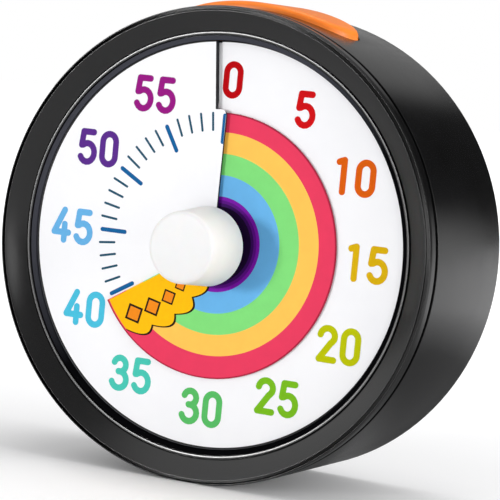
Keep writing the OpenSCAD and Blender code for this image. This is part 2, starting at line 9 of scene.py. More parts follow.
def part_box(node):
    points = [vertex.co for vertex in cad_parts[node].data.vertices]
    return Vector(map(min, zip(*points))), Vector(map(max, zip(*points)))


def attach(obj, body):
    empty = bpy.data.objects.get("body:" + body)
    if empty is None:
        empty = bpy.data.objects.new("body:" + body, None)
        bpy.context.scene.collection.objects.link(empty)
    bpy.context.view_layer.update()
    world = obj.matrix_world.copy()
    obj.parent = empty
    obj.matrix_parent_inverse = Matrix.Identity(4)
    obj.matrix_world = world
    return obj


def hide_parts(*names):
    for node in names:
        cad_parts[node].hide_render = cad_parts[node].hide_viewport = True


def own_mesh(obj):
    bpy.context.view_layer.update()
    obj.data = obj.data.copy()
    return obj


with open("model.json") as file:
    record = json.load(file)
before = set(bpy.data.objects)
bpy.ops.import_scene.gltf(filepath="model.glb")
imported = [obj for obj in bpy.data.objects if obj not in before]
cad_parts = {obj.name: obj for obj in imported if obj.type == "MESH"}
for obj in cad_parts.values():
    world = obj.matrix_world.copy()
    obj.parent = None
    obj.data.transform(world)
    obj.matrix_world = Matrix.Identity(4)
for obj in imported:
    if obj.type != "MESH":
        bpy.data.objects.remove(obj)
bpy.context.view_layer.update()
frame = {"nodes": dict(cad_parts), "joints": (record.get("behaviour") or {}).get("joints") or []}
mm = 0.001
scene = bpy.context.scene
nodes = frame["nodes"]
joints = {joint["name"]: joint for joint in frame["joints"]}
spindleHeight = joints["knob_turn"]["pos_m"][2]
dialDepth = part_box("bezel_ring")[0].y + 3 * mm  # the middle of the dial is 3 mm behind the ring's front
print("frame loaded, spindle at", round(spindleHeight, 4), "and dial middle at", round(dialDepth, 4))


def linear(hexColour):
    channels = [int(hexColour[i:i + 2], 16) / 255 for i in (1, 3, 5)]
    return [c / 12.92 if c <= 0.04045 else ((c + 0.055) / 1.055) ** 2.4 for c in channels] + [1]


def setInputs(tree, node, inputs):
    for name, value in inputs.items():
        if isinstance(value, bpy.types.NodeSocket):
            tree.links.new(value, node.inputs[name])
        else:
            node.inputs[name].default_value = value


def addNode(tree, kind, settings={}, inputs={}):
    # a colour ramp is set by "blend" or "steps", a list of places from 0 to 1 with their hex colours
    node = tree.nodes.new(kind)
    for name, value in settings.items():
        if name not in ("blend", "steps"):
            setattr(node, name, value)
            continue
        ramp = node.color_ramp
        ramp.interpolation = "LINEAR" if name == "blend" else "CONSTANT"
        while len(ramp.elements) < len(value):
            ramp.elements.new(1.0)
        for element, (position, colour) in zip(ramp.elements, value):
            element.position = position
            element.color = linear(colour)
    setInputs(tree, node, inputs)
    return node


def nodeTree(name, sockets):
    tree = bpy.data.node_groups.new(name, "GeometryNodeTree")
    tree.interface.new_socket("Geometry", in_out="INPUT", socket_type="NodeSocketGeometry")
    for label, (kind, value) in sockets.items():
        made = tree.interface.new_socket(label, in_out="INPUT", socket_type=kind)
        if value is not None:
            made.default_value = value
    tree.interface.new_socket("Geometry", in_out="OUTPUT", socket_type="NodeSocketGeometry")
    return tree, addNode(tree, "NodeGroupInput").outputs


def runTree(piece, tree, values):
    modifier = piece.modifiers.new(tree.name, "NODES")
    modifier.node_group = tree
    for item in tree.interface.items_tree:
        if item.in_out == "INPUT" and item.name in values:
            modifier[item.identifier] = values[item.name]


def openSolid(shape):
    solid = bmesh.new()
    solid.from_mesh(shape)
    return solid


def closeSolid(solid, shape):
    solid.to_mesh(shape)
    solid.free()


def settle(piece, sharpDeg=32):
    # the modifiers' result becomes the piece's own plain mesh, with outward faces and smooth curves
    shape = bpy.data.meshes.new_from_object(piece.evaluated_get(bpy.context.evaluated_depsgraph_get()))
    piece.modifiers.clear()
    piece.data = shape
    solid = openSolid(shape)
    bmesh.ops.remove_doubles(solid, verts=solid.verts, dist=0.0005 * mm)
    bmesh.ops.recalc_face_normals(solid, faces=solid.faces)
    closeSolid(solid, shape)
    shape.shade_smooth()
    shape.set_sharp_from_angle(angle=math.radians(sharpDeg))


def newPiece(name, points, faces=()):
    shape = bpy.data.meshes.new(name)
    shape.from_pydata(points, (), faces)
    piece = bpy.data.objects.new(name, shape)
    scene.collection.objects.link(piece)
    return piece


def solidPiece(name, solid):
    piece = newPiece(name, ())
    closeSolid(solid, piece.data)
    return piece


def newMaterial(name):
    material = bpy.data.materials.new(name)
    material.use_nodes = True
    return material, material.node_tree, material.node_tree.nodes["Principled BSDF"]


def roundCorners(corners, steps=7):
    # corners are (radius, depth, fillet) in mm, in order round the section
    outline = []
    for i, (x, y, fillet) in enumerate(corners):
        here = Vector((x, y))
        back = Vector(corners[i - 1][:2]) - here
        ahead = Vector(corners[(i + 1) % len(corners)][:2]) - here
        bend = back.angle(ahead)
        if fillet <= 0 or bend > math.radians(179):
            outline.append(here)
            continue
        # a fillet takes up less than half of each side
        reach = min(fillet / math.tan(bend / 2), 0.49 * back.length, 0.49 * ahead.length)
        radius = reach * math.tan(bend / 2)
        start = here + back.normalized() * reach
        end = here + ahead.normalized() * reach
        centre = here + (back.normalized() + ahead.normalized()).normalized() * math.hypot(reach, radius)
        sweep = (start - centre).angle_signed(end - centre)
        for k in range(steps + 1):
            arm = start - centre
            arm.rotate(Matrix.Rotation(-sweep * k / steps, 2))
            outline.append(centre + arm)
    return outline


# The dial sheet winds towards the front by one step in a turn, and the disc's film lies just before it.
# All in mm.
windingValues = {"step": 1.2, "filmBefore": 0.4, "shoulderRadius": 22.8, "earlyDeg": 5}


def onDial(x, z):
    # depth of the dial sheet's front from its middle
    v = windingValues
    angle = math.degrees(math.atan2(x, z)) % 360
    if angle > 360 - v["earlyDeg"] and math.hypot(x, z) > v["shoulderRadius"]:
        angle -= 360  # outside the slot's shoulder the sheet starts early
    return v["step"] * (0.5 - angle / 360)


def onDisc(x, z):
    return onDial(x, z) - windingValues["filmBefore"]


def toFrame(x, depth, z):
    return Vector((x * mm, dialDepth + depth * mm, spindleHeight + z * mm))


# The camera stands right of the timer's front and above its middle, and leans a few degrees to one side
cameraValues = {"place": (0.18623, -0.38145, 0.07131), "look": (-0.43269687, 0.89835186, -0.0757454),
                "rollDeg": 5.47, "lensMm": 180, "sensorMm": 36, "clipStart": 0.02}
camera = bpy.data.objects.new("camera", bpy.data.cameras.new("camera"))
scene.collection.objects.link(camera)
aim = Vector(cameraValues["look"]).to_track_quat("-Z", "Y")
roll = Quaternion((0, 0, 1), math.radians(cameraValues["rollDeg"]))
camera.matrix_world = Matrix.Translation(cameraValues["place"]) @ (aim @ roll).to_matrix().to_4x4()
camera.data.lens = cameraValues["lensMm"]
camera.data.sensor_width = cameraValues["sensorMm"]
camera.data.clip_start = cameraValues["clipStart"]
scene.camera = camera
print("camera placed")


def mouldedPlastic(name, look):
    # plastic from a mould: faint cloudy colour, a fine grain from the mould wall, and gloss that changes
    # with both
    material, tree, shader = newMaterial(name)
    place = addNode(tree, "ShaderNodeTexCoord").outputs["Object"]
    cloud = addNode(tree, "ShaderNodeTexNoise", inputs={
        "Vector": place, "Scale": 1 / (look["cloudMm"] * mm),
        "Detail": 3.0, "Roughness": 0.55}).outputs["Fac"]
    grain = addNode(tree, "ShaderNodeTexNoise", inputs={
        "Vector": place, "Scale": 1 / (look["grainMm"] * mm),
        "Detail": 2.0, "Roughness": 0.6}).outputs["Fac"]
    tint = addNode(tree, "ShaderNodeValToRGB", {
        "blend": [(0.3, look["shade"]), (0.7, look["colour"])]}, {"Fac": cloud}).outputs["Color"]
    both = addNode(tree, "ShaderNodeMath", {"operation": "ADD"}, {0: cloud, 1: grain}).outputs[0]
    gloss = addNode(tree, "ShaderNodeMapRange", inputs={
        "Value": both, "From Min": 0.7, "From Max": 1.3,
        "To Min": look["rough"] - look["roughSpread"],
        "To Max": look["rough"] + look["roughSpread"]}).outputs["Result"]
    relief = addNode(tree, "ShaderNodeBump", inputs={
        "Height": grain, "Strength": 1.0, "Distance": look["reliefMm"] * mm}).outputs["Normal"]
    setInputs(tree, shader, {
        "Base Color": tint, "Roughness": gloss, "Normal": relief, "IOR": look.get("ior", 1.5),
        "Specular IOR Level": look.get("specular", 0.5), "Subsurface Weight": look.get("glow", 0.0),
        "Subsurface Scale": 1.5 * mm})
    return material


def polarPlace(tree):
    # the point's own place, and its place about the spindle in mm, with x across and z up
    place = addNode(tree, "ShaderNodeTexCoord").outputs["Object"]
    turned = addNode(tree, "ShaderNodeMapping", {"vector_type": "POINT"}, {
        "Vector": place, "Location": (0, 0, -spindleHeight / mm), "Scale": (1 / mm, 0, 1 / mm)})
    return place, turned.outputs["Vector"]


def workedMetal(name, look):
    # drawn, rolled or turned metal: fine lines run one way, and the gloss breaks up along them
    material, tree, shader = newMaterial(name)
    roughSpread = 0.08
    place = addNode(tree, "ShaderNodeTexCoord").outputs["Object"]
    stretch = addNode(tree, "ShaderNodeMapping", inputs={
        "Vector": place, "Scale": look["stretch"]}).outputs["Vector"]
    lines = addNode(tree, "ShaderNodeTexNoise", inputs={
        "Vector": stretch, "Scale": 1 / (look["lineMm"] * mm),
        "Detail": 2.0, "Roughness": 0.5}).outputs["Fac"]
    tint = addNode(tree, "ShaderNodeValToRGB", {
        "blend": [(0.25, look["shade"]), (0.75, look["colour"])]}, {"Fac": lines}).outputs["Color"]
    gloss = addNode(tree, "ShaderNodeMapRange", inputs={
        "Value": lines, "From Min": 0.3, "From Max": 0.7,
        "To Min": look["rough"] - roughSpread, "To Max": look["rough"] + roughSpread}).outputs["Result"]
    relief = addNode(tree, "ShaderNodeBump", inputs={
        "Height": lines, "Strength": 0.6, "Distance": look["reliefMm"] * mm}).outputs["Normal"]
    setInputs(tree, shader, {"Base Color": tint, "Roughness": gloss, "Normal": relief, "Metallic": 1.0})
    return material


# ABS moulded in a lightly spark-eroded mould: black, satin, so edges and slopes pick up grey from the room.
# The real grain is near 0.08 mm, and it is drawn at 0.3 mm so that it shows, as on the other plastics.
caseAbs = mouldedPlastic("caseAbsSatinMoulded", {
    "colour": "#0d0d0e", "shade": "#080808", "rough": 0.21, "roughSpread": 0.03,
    "cloudMm": 9.0, "grainMm": 0.3, "reliefMm": 0.0006, "ior": 1.46})
# the same ABS from a coarser etched mould: duller, with a grain that hides finger marks
coverAbs = mouldedPlastic("coverAbsEtchedMoulded", {
    "colour": "#141415", "shade": "#0d0d0e", "rough": 0.52, "roughSpread": 0.08,
    "cloudMm": 7.0, "grainMm": 0.45, "reliefMm": 0.006})
# calendered white styrene sheet: even, faintly cool white with a soft sheen
dialSheet = mouldedPlastic("dialStyreneCalendered", {
    "colour": "#f6f6f8", "shade": "#f2f2f5", "rough": 0.62, "roughSpread": 0.05,
    "cloudMm": 12.0, "grainMm": 0.5, "reliefMm": 0.0006, "specular": 0.35})
# a black line of painted shade runs round the sheet's rim where the gap beside the ring is dark, with a
# charcoal band of painted shade outside it, and faces that turn to the right, the end cut at the slot among
# them, get painted shade
rimShadeValues = {"shiftMm": (0.1, 0.1), "lineFromMm": 33.92, "line": "#0a0a0b", "rimFromMm": 34.2,
                "rim": "#38393f", "facesRight": 0.8, "cutEdgePaintedShade": "#15161c"}
tree = dialSheet.node_tree
moved = addNode(tree, "ShaderNodeVectorMath", {"operation": "SUBTRACT"}, {
    0: polarPlace(tree)[1], 1: (rimShadeValues["shiftMm"][0], 0, rimShadeValues["shiftMm"][1])}).outputs[0]
fromAxis = addNode(tree, "ShaderNodeVectorMath", {"operation": "LENGTH"}, {0: moved}).outputs["Value"]
faceWay = addNode(tree, "ShaderNodeNewGeometry").outputs["True Normal"]
faceRight = addNode(tree, "ShaderNodeSeparateXYZ", inputs={"Vector": faceWay}).outputs["X"]
dialWithPaintedShade = tree.nodes["Principled BSDF"].inputs["Base Color"].links[0].from_socket
for measure, limit, colour in ((fromAxis, rimShadeValues["lineFromMm"], rimShadeValues["line"]),
                               (fromAxis, rimShadeValues["rimFromMm"], rimShadeValues["rim"]),
                               (faceRight, rimShadeValues["facesRight"], rimShadeValues["cutEdgePaintedShade"])):
    beyond = addNode(tree, "ShaderNodeMath", {"operation": "GREATER_THAN"}, {
        0: measure, 1: limit}).outputs[0]
    dialWithPaintedShade = addNode(tree, "ShaderNodeMix", {"data_type": "RGBA"}, {
        "Factor": beyond, 6: dialWithPaintedShade, 7: linear(colour)}).outputs[2]
tree.links.new(dialWithPaintedShade, tree.nodes["Principled BSDF"].inputs["Base Color"])
# white ABS from a polished mould: bright, with a soft gloss that rounds its edges
knobAbs = mouldedPlastic("knobAbsPolishedMoulded", {
    "colour": "#e8e8e8", "shade": "#e3e3e3", "rough": 0.45, "roughSpread": 0.04,
    "cloudMm": 6.0, "grainMm": 0.4, "reliefMm": 0.0005, "glow": 0.15, "specular": 0.4})
# orange ABS, semi-gloss: a warm body colour that glows a little at its thin edge
buttonAbs = mouldedPlastic("buttonAbsSemiGlossMoulded", {
    "colour": "#ff8a2a", "shade": "#fb8020", "rough": 0.42, "roughSpread": 0.05,
    "cloudMm": 6.0, "grainMm": 0.35, "reliefMm": 0.001, "glow": 0.1, "specular": 0.35})
# deep purple ABS hub, glossy where the mould was polished
hubAbs = mouldedPlastic("hubAbsMoulded", {
    "colour": "#4a1270", "shade": "#3c0d5e", "rough": 0.3, "roughSpread": 0.05,
    "cloudMm": 4.0, "grainMm": 0.3, "reliefMm": 0.001})
# natural ABS of the movement housing: ivory, with the slight haze of an unpolished mould
housingAbs = mouldedPlastic("housingAbsNaturalMoulded", {
    "colour": "#e6dfca", "shade": "#dcd3ba", "rough": 0.45, "roughSpread": 0.06,
    "cloudMm": 5.0, "grainMm": 0.4, "reliefMm": 0.002})
# natural acetal gears: milky and slippery, light goes a little way in
gearAcetal = mouldedPlastic("gearAcetalMoulded", {
    "colour": "#f1ecdd", "shade": "#e8e1cd", "rough": 0.36, "roughSpread": 0.05,
    "cloudMm": 3.0, "grainMm": 0.25, "reliefMm": 0.001, "glow": 0.25, "ior": 1.48})
# green nylon of the bobbin, moulded: satin, and a little cloudy
bobbinNylon = mouldedPlastic("bobbinNylonMoulded", {
    "colour": "#1f7d45", "shade": "#17683a", "rough": 0.4, "roughSpread": 0.06,
    "cloudMm": 2.5, "grainMm": 0.25, "reliefMm": 0.0015, "ior": 1.53})
# black nylon of the switch and the buzzer, moulded: satin with a soft grain
switchNylon = mouldedPlastic("switchNylonMoulded", {
    "colour": "#1b1c1e", "shade": "#131416", "rough": 0.45, "roughSpread": 0.07,
    "cloudMm": 2.5, "grainMm": 0.25, "reliefMm": 0.002, "ior": 1.53})
# epoxy moulding compound of the chip: dull black with mineral filler
chipEpoxy = mouldedPlastic("chipEpoxyTransferMoulded", {
    "colour": "#222223", "shade": "#171718", "rough": 0.62, "roughSpread": 0.08,
    "cloudMm": 1.2, "grainMm": 0.2, "reliefMm": 0.004, "ior": 1.55})
# light grey acetal of the plunger, moulded: smooth and even
plungerAcetal = mouldedPlastic("plungerAcetalMoulded", {
    "colour": "#d3d3d2", "shade": "#c6c6c5", "rough": 0.35, "roughSpread": 0.05,
    "cloudMm": 1.5, "grainMm": 0.2, "reliefMm": 0.001})
# sintered ferrite of the rotor: almost black, slightly crystalline
rotorFerrite = mouldedPlastic("rotorFerriteSintered", {
    "colour": "#4a4a4d", "shade": "#35353a", "rough": 0.5, "roughSpread": 0.12,
    "cloudMm": 0.8, "grainMm": 0.2, "reliefMm": 0.005, "ior": 2.2})
# nitrile rubber pads: matt black with a slightly open skin
padRubber = mouldedPlastic("padRubberMoulded", {
    "colour": "#1c1c1c", "shade": "#121212", "rough": 0.82, "roughSpread": 0.08,
    "cloudMm": 2.0, "grainMm": 0.35, "reliefMm": 0.012, "ior": 1.52})
# steel turned on a lathe: fine rings round the spindle
turnedSteel = workedMetal("spindleSteelTurned", {
    "colour": "#c9ccd0", "shade": "#9ea2a8", "rough": 0.26,
    "stretch": (0.15, 1, 0.15), "lineMm": 0.18, "reliefMm": 0.004})
# zinc-plated screws: bluish bright, cloudy plating
screwZinc = workedMetal("screwSteelZincPlated", {
    "colour": "#c3c8cf", "shade": "#9da3ac", "rough": 0.32,
    "stretch": (1, 1, 1), "lineMm": 0.7, "reliefMm": 0.004})
# hard-drawn spring wire: grey steel with drawing lines
springWire = workedMetal("springSteelDrawn", {
    "colour": "#b7bbc1", "shade": "#8b9097", "rough": 0.3,
    "stretch": (1, 1, 0.3), "lineMm": 0.25, "reliefMm": 0.003})
# cold-rolled silicon steel of the stator, dull with its annealed skin
statorSteel = workedMetal("statorSiliconSteelRolled", {
    "colour": "#8b8f95", "shade": "#6b6f76", "rough": 0.42,
    "stretch": (0.2, 1, 1), "lineMm": 0.3, "reliefMm": 0.003})
# brass strip of the washer, rolled and pressed: warm yellow with faint rolling lines
washerBrass = workedMetal("washerBrassPressed", {
    "colour": "#d8b867", "shade": "#b9934a", "rough": 0.3,
    "stretch": (0.25, 1, 1), "lineMm": 0.3, "reliefMm": 0.003})
# nickel-plated steel of the battery contacts: a bright, slightly warm plating
contactSteel = workedMetal("contactNickelPlated", {
    "colour": "#c6c3ba", "shade": "#a39f95", "rough": 0.28,
    "stretch": (1, 0.3, 1), "lineMm": 0.3, "reliefMm": 0.003})
# enamelled copper wire in close turns: the turns show as fine ridges along the coil
coilCopper = workedMetal("coilCopperEnamelled", {
    "colour": "#c8703a", "shade": "#8d431d", "rough": 0.3,
    "stretch": (1, 0.05, 0.05), "lineMm": 0.22, "reliefMm": 0.03})

# Polyester film, reverse printed in rings: even ink under a smooth face, a thin darker line round the rim.
# The purple rings darken towards the hub: painted shade where the knob shadows the film.
filmValues = {
    "rimMm": 22.3, "shiftMm": (0.4, 0.3), "rimLineMm": 22.08, "rimLine": "#a81a3a",
    "cloudMm": 3.0, "cover": (0.96, 1.02), "rough": (0.57, 0.67), "specular": 0.1,
    "ringsWithHubShade": [(0.0, "#1c0330"), (6.3, "#3c0660"), (6.85, "#5e0a88"), (7.35, "#7c10a8"),
              (7.95, "#68b2e7"), (11.58, "#80dc7a"), (15.15, "#fcc456"), (18.68, "#e73a5d")]}
discFilm, tree, shader = newMaterial("discPolyesterPrinted")
place, turned = polarPlace(tree)
moved = addNode(tree, "ShaderNodeVectorMath", {"operation": "SUBTRACT"}, {
    0: turned, 1: (filmValues["shiftMm"][0], 0, filmValues["shiftMm"][1])}).outputs[0]
reach = addNode(tree, "ShaderNodeVectorMath", {"operation": "LENGTH"}, {0: moved}).outputs["Value"]
share = addNode(tree, "ShaderNodeMath", {"operation": "DIVIDE"}, {
    0: reach, 1: filmValues["rimMm"]}).outputs[0]
ringStops = [(radius / filmValues["rimMm"], colour) for radius, colour in filmValues["ringsWithHubShade"]]
ringsWithHubShade = addNode(tree, "ShaderNodeValToRGB", {"steps": ringStops}, {"Fac": share}).outputs["Color"]
edge = addNode(tree, "ShaderNodeVectorMath", {"operation": "LENGTH"}, {0: turned}).outputs["Value"]
onRim = addNode(tree, "ShaderNodeMath", {"operation": "GREATER_THAN"}, {
    0: edge, 1: filmValues["rimLineMm"]}).outputs[0]
ringsWithHubShade = addNode(tree, "ShaderNodeMix", {"data_type": "RGBA"}, {
    "Factor": onRim, 6: ringsWithHubShade, 7: linear(filmValues["rimLine"])}).outputs[2]
inkCloud = addNode(tree, "ShaderNodeTexNoise", inputs={
    "Vector": place, "Scale": 1 / (filmValues["cloudMm"] * mm),
    "Detail": 4.0, "Roughness": 0.6}).outputs["Fac"]
inkValue = addNode(tree, "ShaderNodeMapRange", inputs={
    "Value": inkCloud, "From Min": 0.3, "From Max": 0.7,
    "To Min": filmValues["cover"][0], "To Max": filmValues["cover"][1]}).outputs["Result"]
ink = addNode(tree, "ShaderNodeHueSaturation", inputs={
    "Color": ringsWithHubShade, "Value": inkValue}).outputs["Color"]
filmGloss = addNode(tree, "ShaderNodeMapRange", inputs={
    "Value": inkCloud, "To Min": filmValues["rough"][0],
    "To Max": filmValues["rough"][1]}).outputs["Result"]
setInputs(tree, shader, {
    "Base Color": ink, "Roughness": filmGloss, "Specular IOR Level": filmValues["specular"]})

# Pad-printed inks: each numeral's colour is picked by its place round the dial, with slightly uneven cover
inkValues = {"mottleMm": 0.6, "cover": (0.95, 1.02), "rough": (0.55, 0.7), "specular": 0.05}
numeralInks = ["#b9000a", "#cf0c12", "#dc5e08", "#dab008", "#bcc200", "#78ba1e",
               "#58bc65", "#4ac6b4", "#4abedc", "#68b1e4", "#592c89", "#951780"]


def printedInk(name, steps):
    # opaque printing ink: a dry, slightly mottled film over the sheet
    v = inkValues
    start, end = math.radians(-15), math.radians(345)  # a numeral's colour holds 15 degrees to each side
    material, tree, shader = newMaterial(name)
    place, turned = polarPlace(tree)
    split = addNode(tree, "ShaderNodeSeparateXYZ", inputs={"Vector": turned}).outputs
    clock = addNode(tree, "ShaderNodeMath", {"operation": "ARCTAN2"}, {
        0: split["X"], 1: split["Z"]}).outputs[0]
    hour = addNode(tree, "ShaderNodeMath", {"operation": "WRAP"}, {
        0: clock, 1: end, 2: start}).outputs[0]
    share = addNode(tree, "ShaderNodeMapRange", inputs={
        "Value": hour, "From Min": start, "From Max": end}).outputs["Result"]
    colour = addNode(tree, "ShaderNodeValToRGB", {"steps": steps}, {"Fac": share}).outputs["Color"]
    mottle = addNode(tree, "ShaderNodeTexNoise", inputs={
        "Vector": place, "Scale": 1 / (v["mottleMm"] * mm),
        "Detail": 3.0, "Roughness": 0.6}).outputs["Fac"]
    value = addNode(tree, "ShaderNodeMapRange", inputs={
        "Value": mottle, "From Min": 0.3, "From Max": 0.7,
        "To Min": v["cover"][0], "To Max": v["cover"][1]}).outputs["Result"]
    mixed = addNode(tree, "ShaderNodeHueSaturation", inputs={
        "Color": colour, "Value": value}).outputs["Color"]
    gloss = addNode(tree, "ShaderNodeMapRange", inputs={
        "Value": mottle, "To Min": v["rough"][0], "To Max": v["rough"][1]}).outputs["Result"]
    setInputs(tree, shader, {
        "Base Color": mixed, "Roughness": gloss, "Specular IOR Level": v["specular"]})
    return material


inkSteps = [(hour / 12, colour) for hour, colour in enumerate(numeralInks)]
numeralInk = printedInk("numeralInkPadPrinted", inkSteps)
majorInk = printedInk("fiveMinuteInkPadPrinted", [(0.0, "#14609a")])
minorInk = printedInk("minuteInkPadPrinted", [(0.0, "#1d5068")])
goldInk = printedInk("goldInkScreenPrinted", [(0.0, "#fcbd0c")])
amberInk = printedInk("amberInkScreenPrinted", [(0.0, "#f08a1c")])
brownInk = printedInk("darkBrownInkScreenPrinted", [(0.0, "#231812")])

# Alkaline cell in a shrunk printed jacket: a brass-coloured band at the stud end, a dark green body and
# metal ends
cellValues = {"negativeEnd": 0.4, "positiveEnd": 1.6, "bandLength": 12.0, "foilMm": 0.8,
              "metallic": 0.75, "rough": (0.22, 0.36), "metal": "#b9bcc1", "body": "#1f3b2c",
              "bandEdge": "#d9b45e", "band": "#c6963c"}
cellJacket, tree, shader = newMaterial("cellJacketPrintedFoil")
cellLow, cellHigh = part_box("battery")
cellLength = (cellHigh.x - cellLow.x) / mm
place = addNode(tree, "ShaderNodeTexCoord").outputs["Object"]
along = addNode(tree, "ShaderNodeMapRange", inputs={
    "Value": addNode(tree, "ShaderNodeSeparateXYZ", inputs={"Vector": place}).outputs["X"],
    "From Min": cellLow.x, "From Max": cellHigh.x}).outputs["Result"]
cellBand = 1 - (cellValues["positiveEnd"] + cellValues["bandLength"]) / cellLength
cellSteps = [(0.0, cellValues["metal"]), (cellValues["negativeEnd"] / cellLength, cellValues["body"]),
             (cellBand, cellValues["bandEdge"]), (cellBand + 0.03, cellValues["band"]),
             (1 - cellValues["positiveEnd"] / cellLength, cellValues["metal"])]
foil = addNode(tree, "ShaderNodeTexNoise", inputs={
    "Vector": place, "Scale": 1 / (cellValues["foilMm"] * mm), "Detail": 3.0}).outputs["Fac"]
foilGloss = addNode(tree, "ShaderNodeMapRange", inputs={
    "Value": foil, "To Min": cellValues["rough"][0], "To Max": cellValues["rough"][1]}).outputs["Result"]
jacket = addNode(tree, "ShaderNodeValToRGB", {"steps": cellSteps}, {"Fac": along}).outputs["Color"]
setInputs(tree, shader, {
    "Base Color": jacket, "Roughness": foilGloss, "Metallic": cellValues["metallic"]})

# Glass-epoxy board under green solder mask: the copper tracks show as lighter lines, raised a little
boardValues = {"trackMm": 3.2, "mask": "#1b5e36", "overCopper": "#2f8a50", "reliefMm": 0.03,
               "rough": 0.28}
boardMask, tree, shader = newMaterial("boardSolderMaskOverCopper")
place = addNode(tree, "ShaderNodeTexCoord").outputs["Object"]
cells = addNode(tree, "ShaderNodeTexVoronoi", {"feature": "DISTANCE_TO_EDGE"}, {
    "Vector": place, "Scale": 1 / (boardValues["trackMm"] * mm), "Randomness": 0.85}).outputs["Distance"]
tracks = addNode(tree, "ShaderNodeMapRange", inputs={
    "Value": cells, "From Min": 0.07, "From Max": 0.09, "To Min": 1.0, "To Max": 0.0}).outputs["Result"]
maskColour = addNode(tree, "ShaderNodeValToRGB", {
    "blend": [(0.0, boardValues["mask"]), (1.0, boardValues["overCopper"])]}, {
        "Fac": tracks}).outputs["Color"]
trackRelief = addNode(tree, "ShaderNodeBump", inputs={
    "Height": tracks, "Distance": boardValues["reliefMm"] * mm}).outputs["Normal"]
setInputs(tree, shader, {
    "Base Color": maskColour, "Normal": trackRelief, "Roughness": boardValues["rough"]})
print("materials made:", len(bpy.data.materials))

nodeFinishes = {
    "dial_plate": dialSheet, "rainbow_disc": discFilm, "disc_carrier": hubAbs, "rear_cover": coverAbs,
    "battery_door": coverAbs, "grip_pads": padRubber, "battery": cellJacket, "circuit_board": boardMask,
    "switch_board": boardMask, "control_chip": chipEpoxy, "buzzer": switchNylon,
    "tact_switch": switchNylon, "switch_plunger": plungerAcetal, "movement_base": housingAbs,
    "movement_cover": housingAbs, "centre_wheel": gearAcetal, "third_wheel": gearAcetal,
    "second_wheel": gearAcetal, "rotor": rotorFerrite, "coil_bobbin": bobbinNylon,
    "coil_winding": coilCopper, "stator": statorSteel, "spindle": turnedSteel,
    "spindle_clip": springWire, "button_springs": springWire, "clutch_washer": washerBrass,
    "contact_plate": contactSteel, "contact_spring": contactSteel, "rear_screws": screwZinc,
    "movement_screws": screwZinc, "cover_screws": screwZinc, "dial_screws": screwZinc}
for name, finish in nodeFinishes.items():
    for slot in nodes[name].material_slots:
        slot.material = finish


def turningTree():
    # a section, given as the piece's own points in order, is turned all the way round the spindle's axis
    tree, given = nodeTree("turnSection", {
        "Segments": ("NodeSocketInt", 192), "Axis height": ("NodeSocketFloat", 0.0),
        "Finish": ("NodeSocketMaterial", None)})
    count = addNode(tree, "GeometryNodeAttributeDomainSize", inputs={
        "Geometry": given["Geometry"]}).outputs["Point Count"]
    rows = addNode(tree, "ShaderNodeMath", {"operation": "ADD"}, {0: count, 1: 1.0}).outputs[0]
    columns = addNode(tree, "ShaderNodeMath", {"operation": "ADD"}, {
        0: given["Segments"], 1: 1.0}).outputs[0]
    grid = addNode(tree, "GeometryNodeMeshGrid", inputs={
        "Vertices X": columns, "Vertices Y": rows}).outputs["Mesh"]
    index = addNode(tree, "GeometryNodeInputIndex").outputs[0]
    split = addNode(tree, "ShaderNodeMath", {"operation": "DIVIDE"}, {0: index, 1: rows}).outputs[0]
    column = addNode(tree, "ShaderNodeMath", {"operation": "FLOOR"}, {0: split}).outputs[0]
    row = addNode(tree, "ShaderNodeMath", {"operation": "MODULO"}, {0: index, 1: rows}).outputs[0]
    row = addNode(tree, "ShaderNodeMath", {"operation": "MODULO"}, {0: row, 1: count}).outputs[0]
    turn = addNode(tree, "ShaderNodeMath", {"operation": "DIVIDE"}, {
        0: column, 1: given["Segments"]}).outputs[0]
    angle = addNode(tree, "ShaderNodeMath", {"operation": "MULTIPLY"}, {
        0: turn, 1: 2 * math.pi}).outputs[0]
    sine = addNode(tree, "ShaderNodeMath", {"operation": "SINE"}, {0: angle}).outputs[0]
    cosine = addNode(tree, "ShaderNodeMath", {"operation": "COSINE"}, {0: angle}).outputs[0]
    place = addNode(tree, "GeometryNodeInputPosition").outputs[0]
    point = addNode(tree, "GeometryNodeSampleIndex", {"data_type": "FLOAT_VECTOR", "domain": "POINT"}, {
        "Geometry": given["Geometry"], "Value": place, "Index": row}).outputs[0]
    section = addNode(tree, "ShaderNodeSeparateXYZ", inputs={"Vector": point}).outputs
    across = addNode(tree, "ShaderNodeMath", {"operation": "MULTIPLY"}, {
        0: section["X"], 1: sine}).outputs[0]
    up = addNode(tree, "ShaderNodeMath", {"operation": "MULTIPLY_ADD"}, {
        0: section["X"], 1: cosine, 2: given["Axis height"]}).outputs[0]
    spot = addNode(tree, "ShaderNodeCombineXYZ", inputs={
        "X": across, "Y": section["Y"], "Z": up}).outputs[0]
    moved = addNode(tree, "GeometryNodeSetPosition", inputs={
        "Geometry": grid, "Position": spot}).outputs[0]
    closed = addNode(tree, "GeometryNodeMergeByDistance", inputs={
        "Geometry": moved, "Distance": 0.001 * mm}).outputs[0]
    plain = addNode(tree, "GeometryNodeRealizeInstances", inputs={"Geometry": closed}).outputs[0]
    painted = addNode(tree, "GeometryNodeSetMaterial", inputs={
        "Geometry": plain, "Material": given["Finish"]}).outputs[0]
    addNode(tree, "NodeGroupOutput", inputs={"Geometry": painted})
    return tree


turnSection = turningTree()


def turnedPiece(name, corners, segments, finish):
    points = [(x * mm, dialDepth + y * mm, 0) for x, y in roundCorners(corners)]
    piece = newPiece(name, points)
    runTree(piece, turnSection, {"Segments": segments, "Axis height": spindleHeight, "Finish": finish})
    settle(piece)
    piece.data.materials.clear()
    piece.data.materials.append(finish)
    piece.data.polygons.foreach_set("material_index", [0] * len(piece.data.polygons))
    return piece


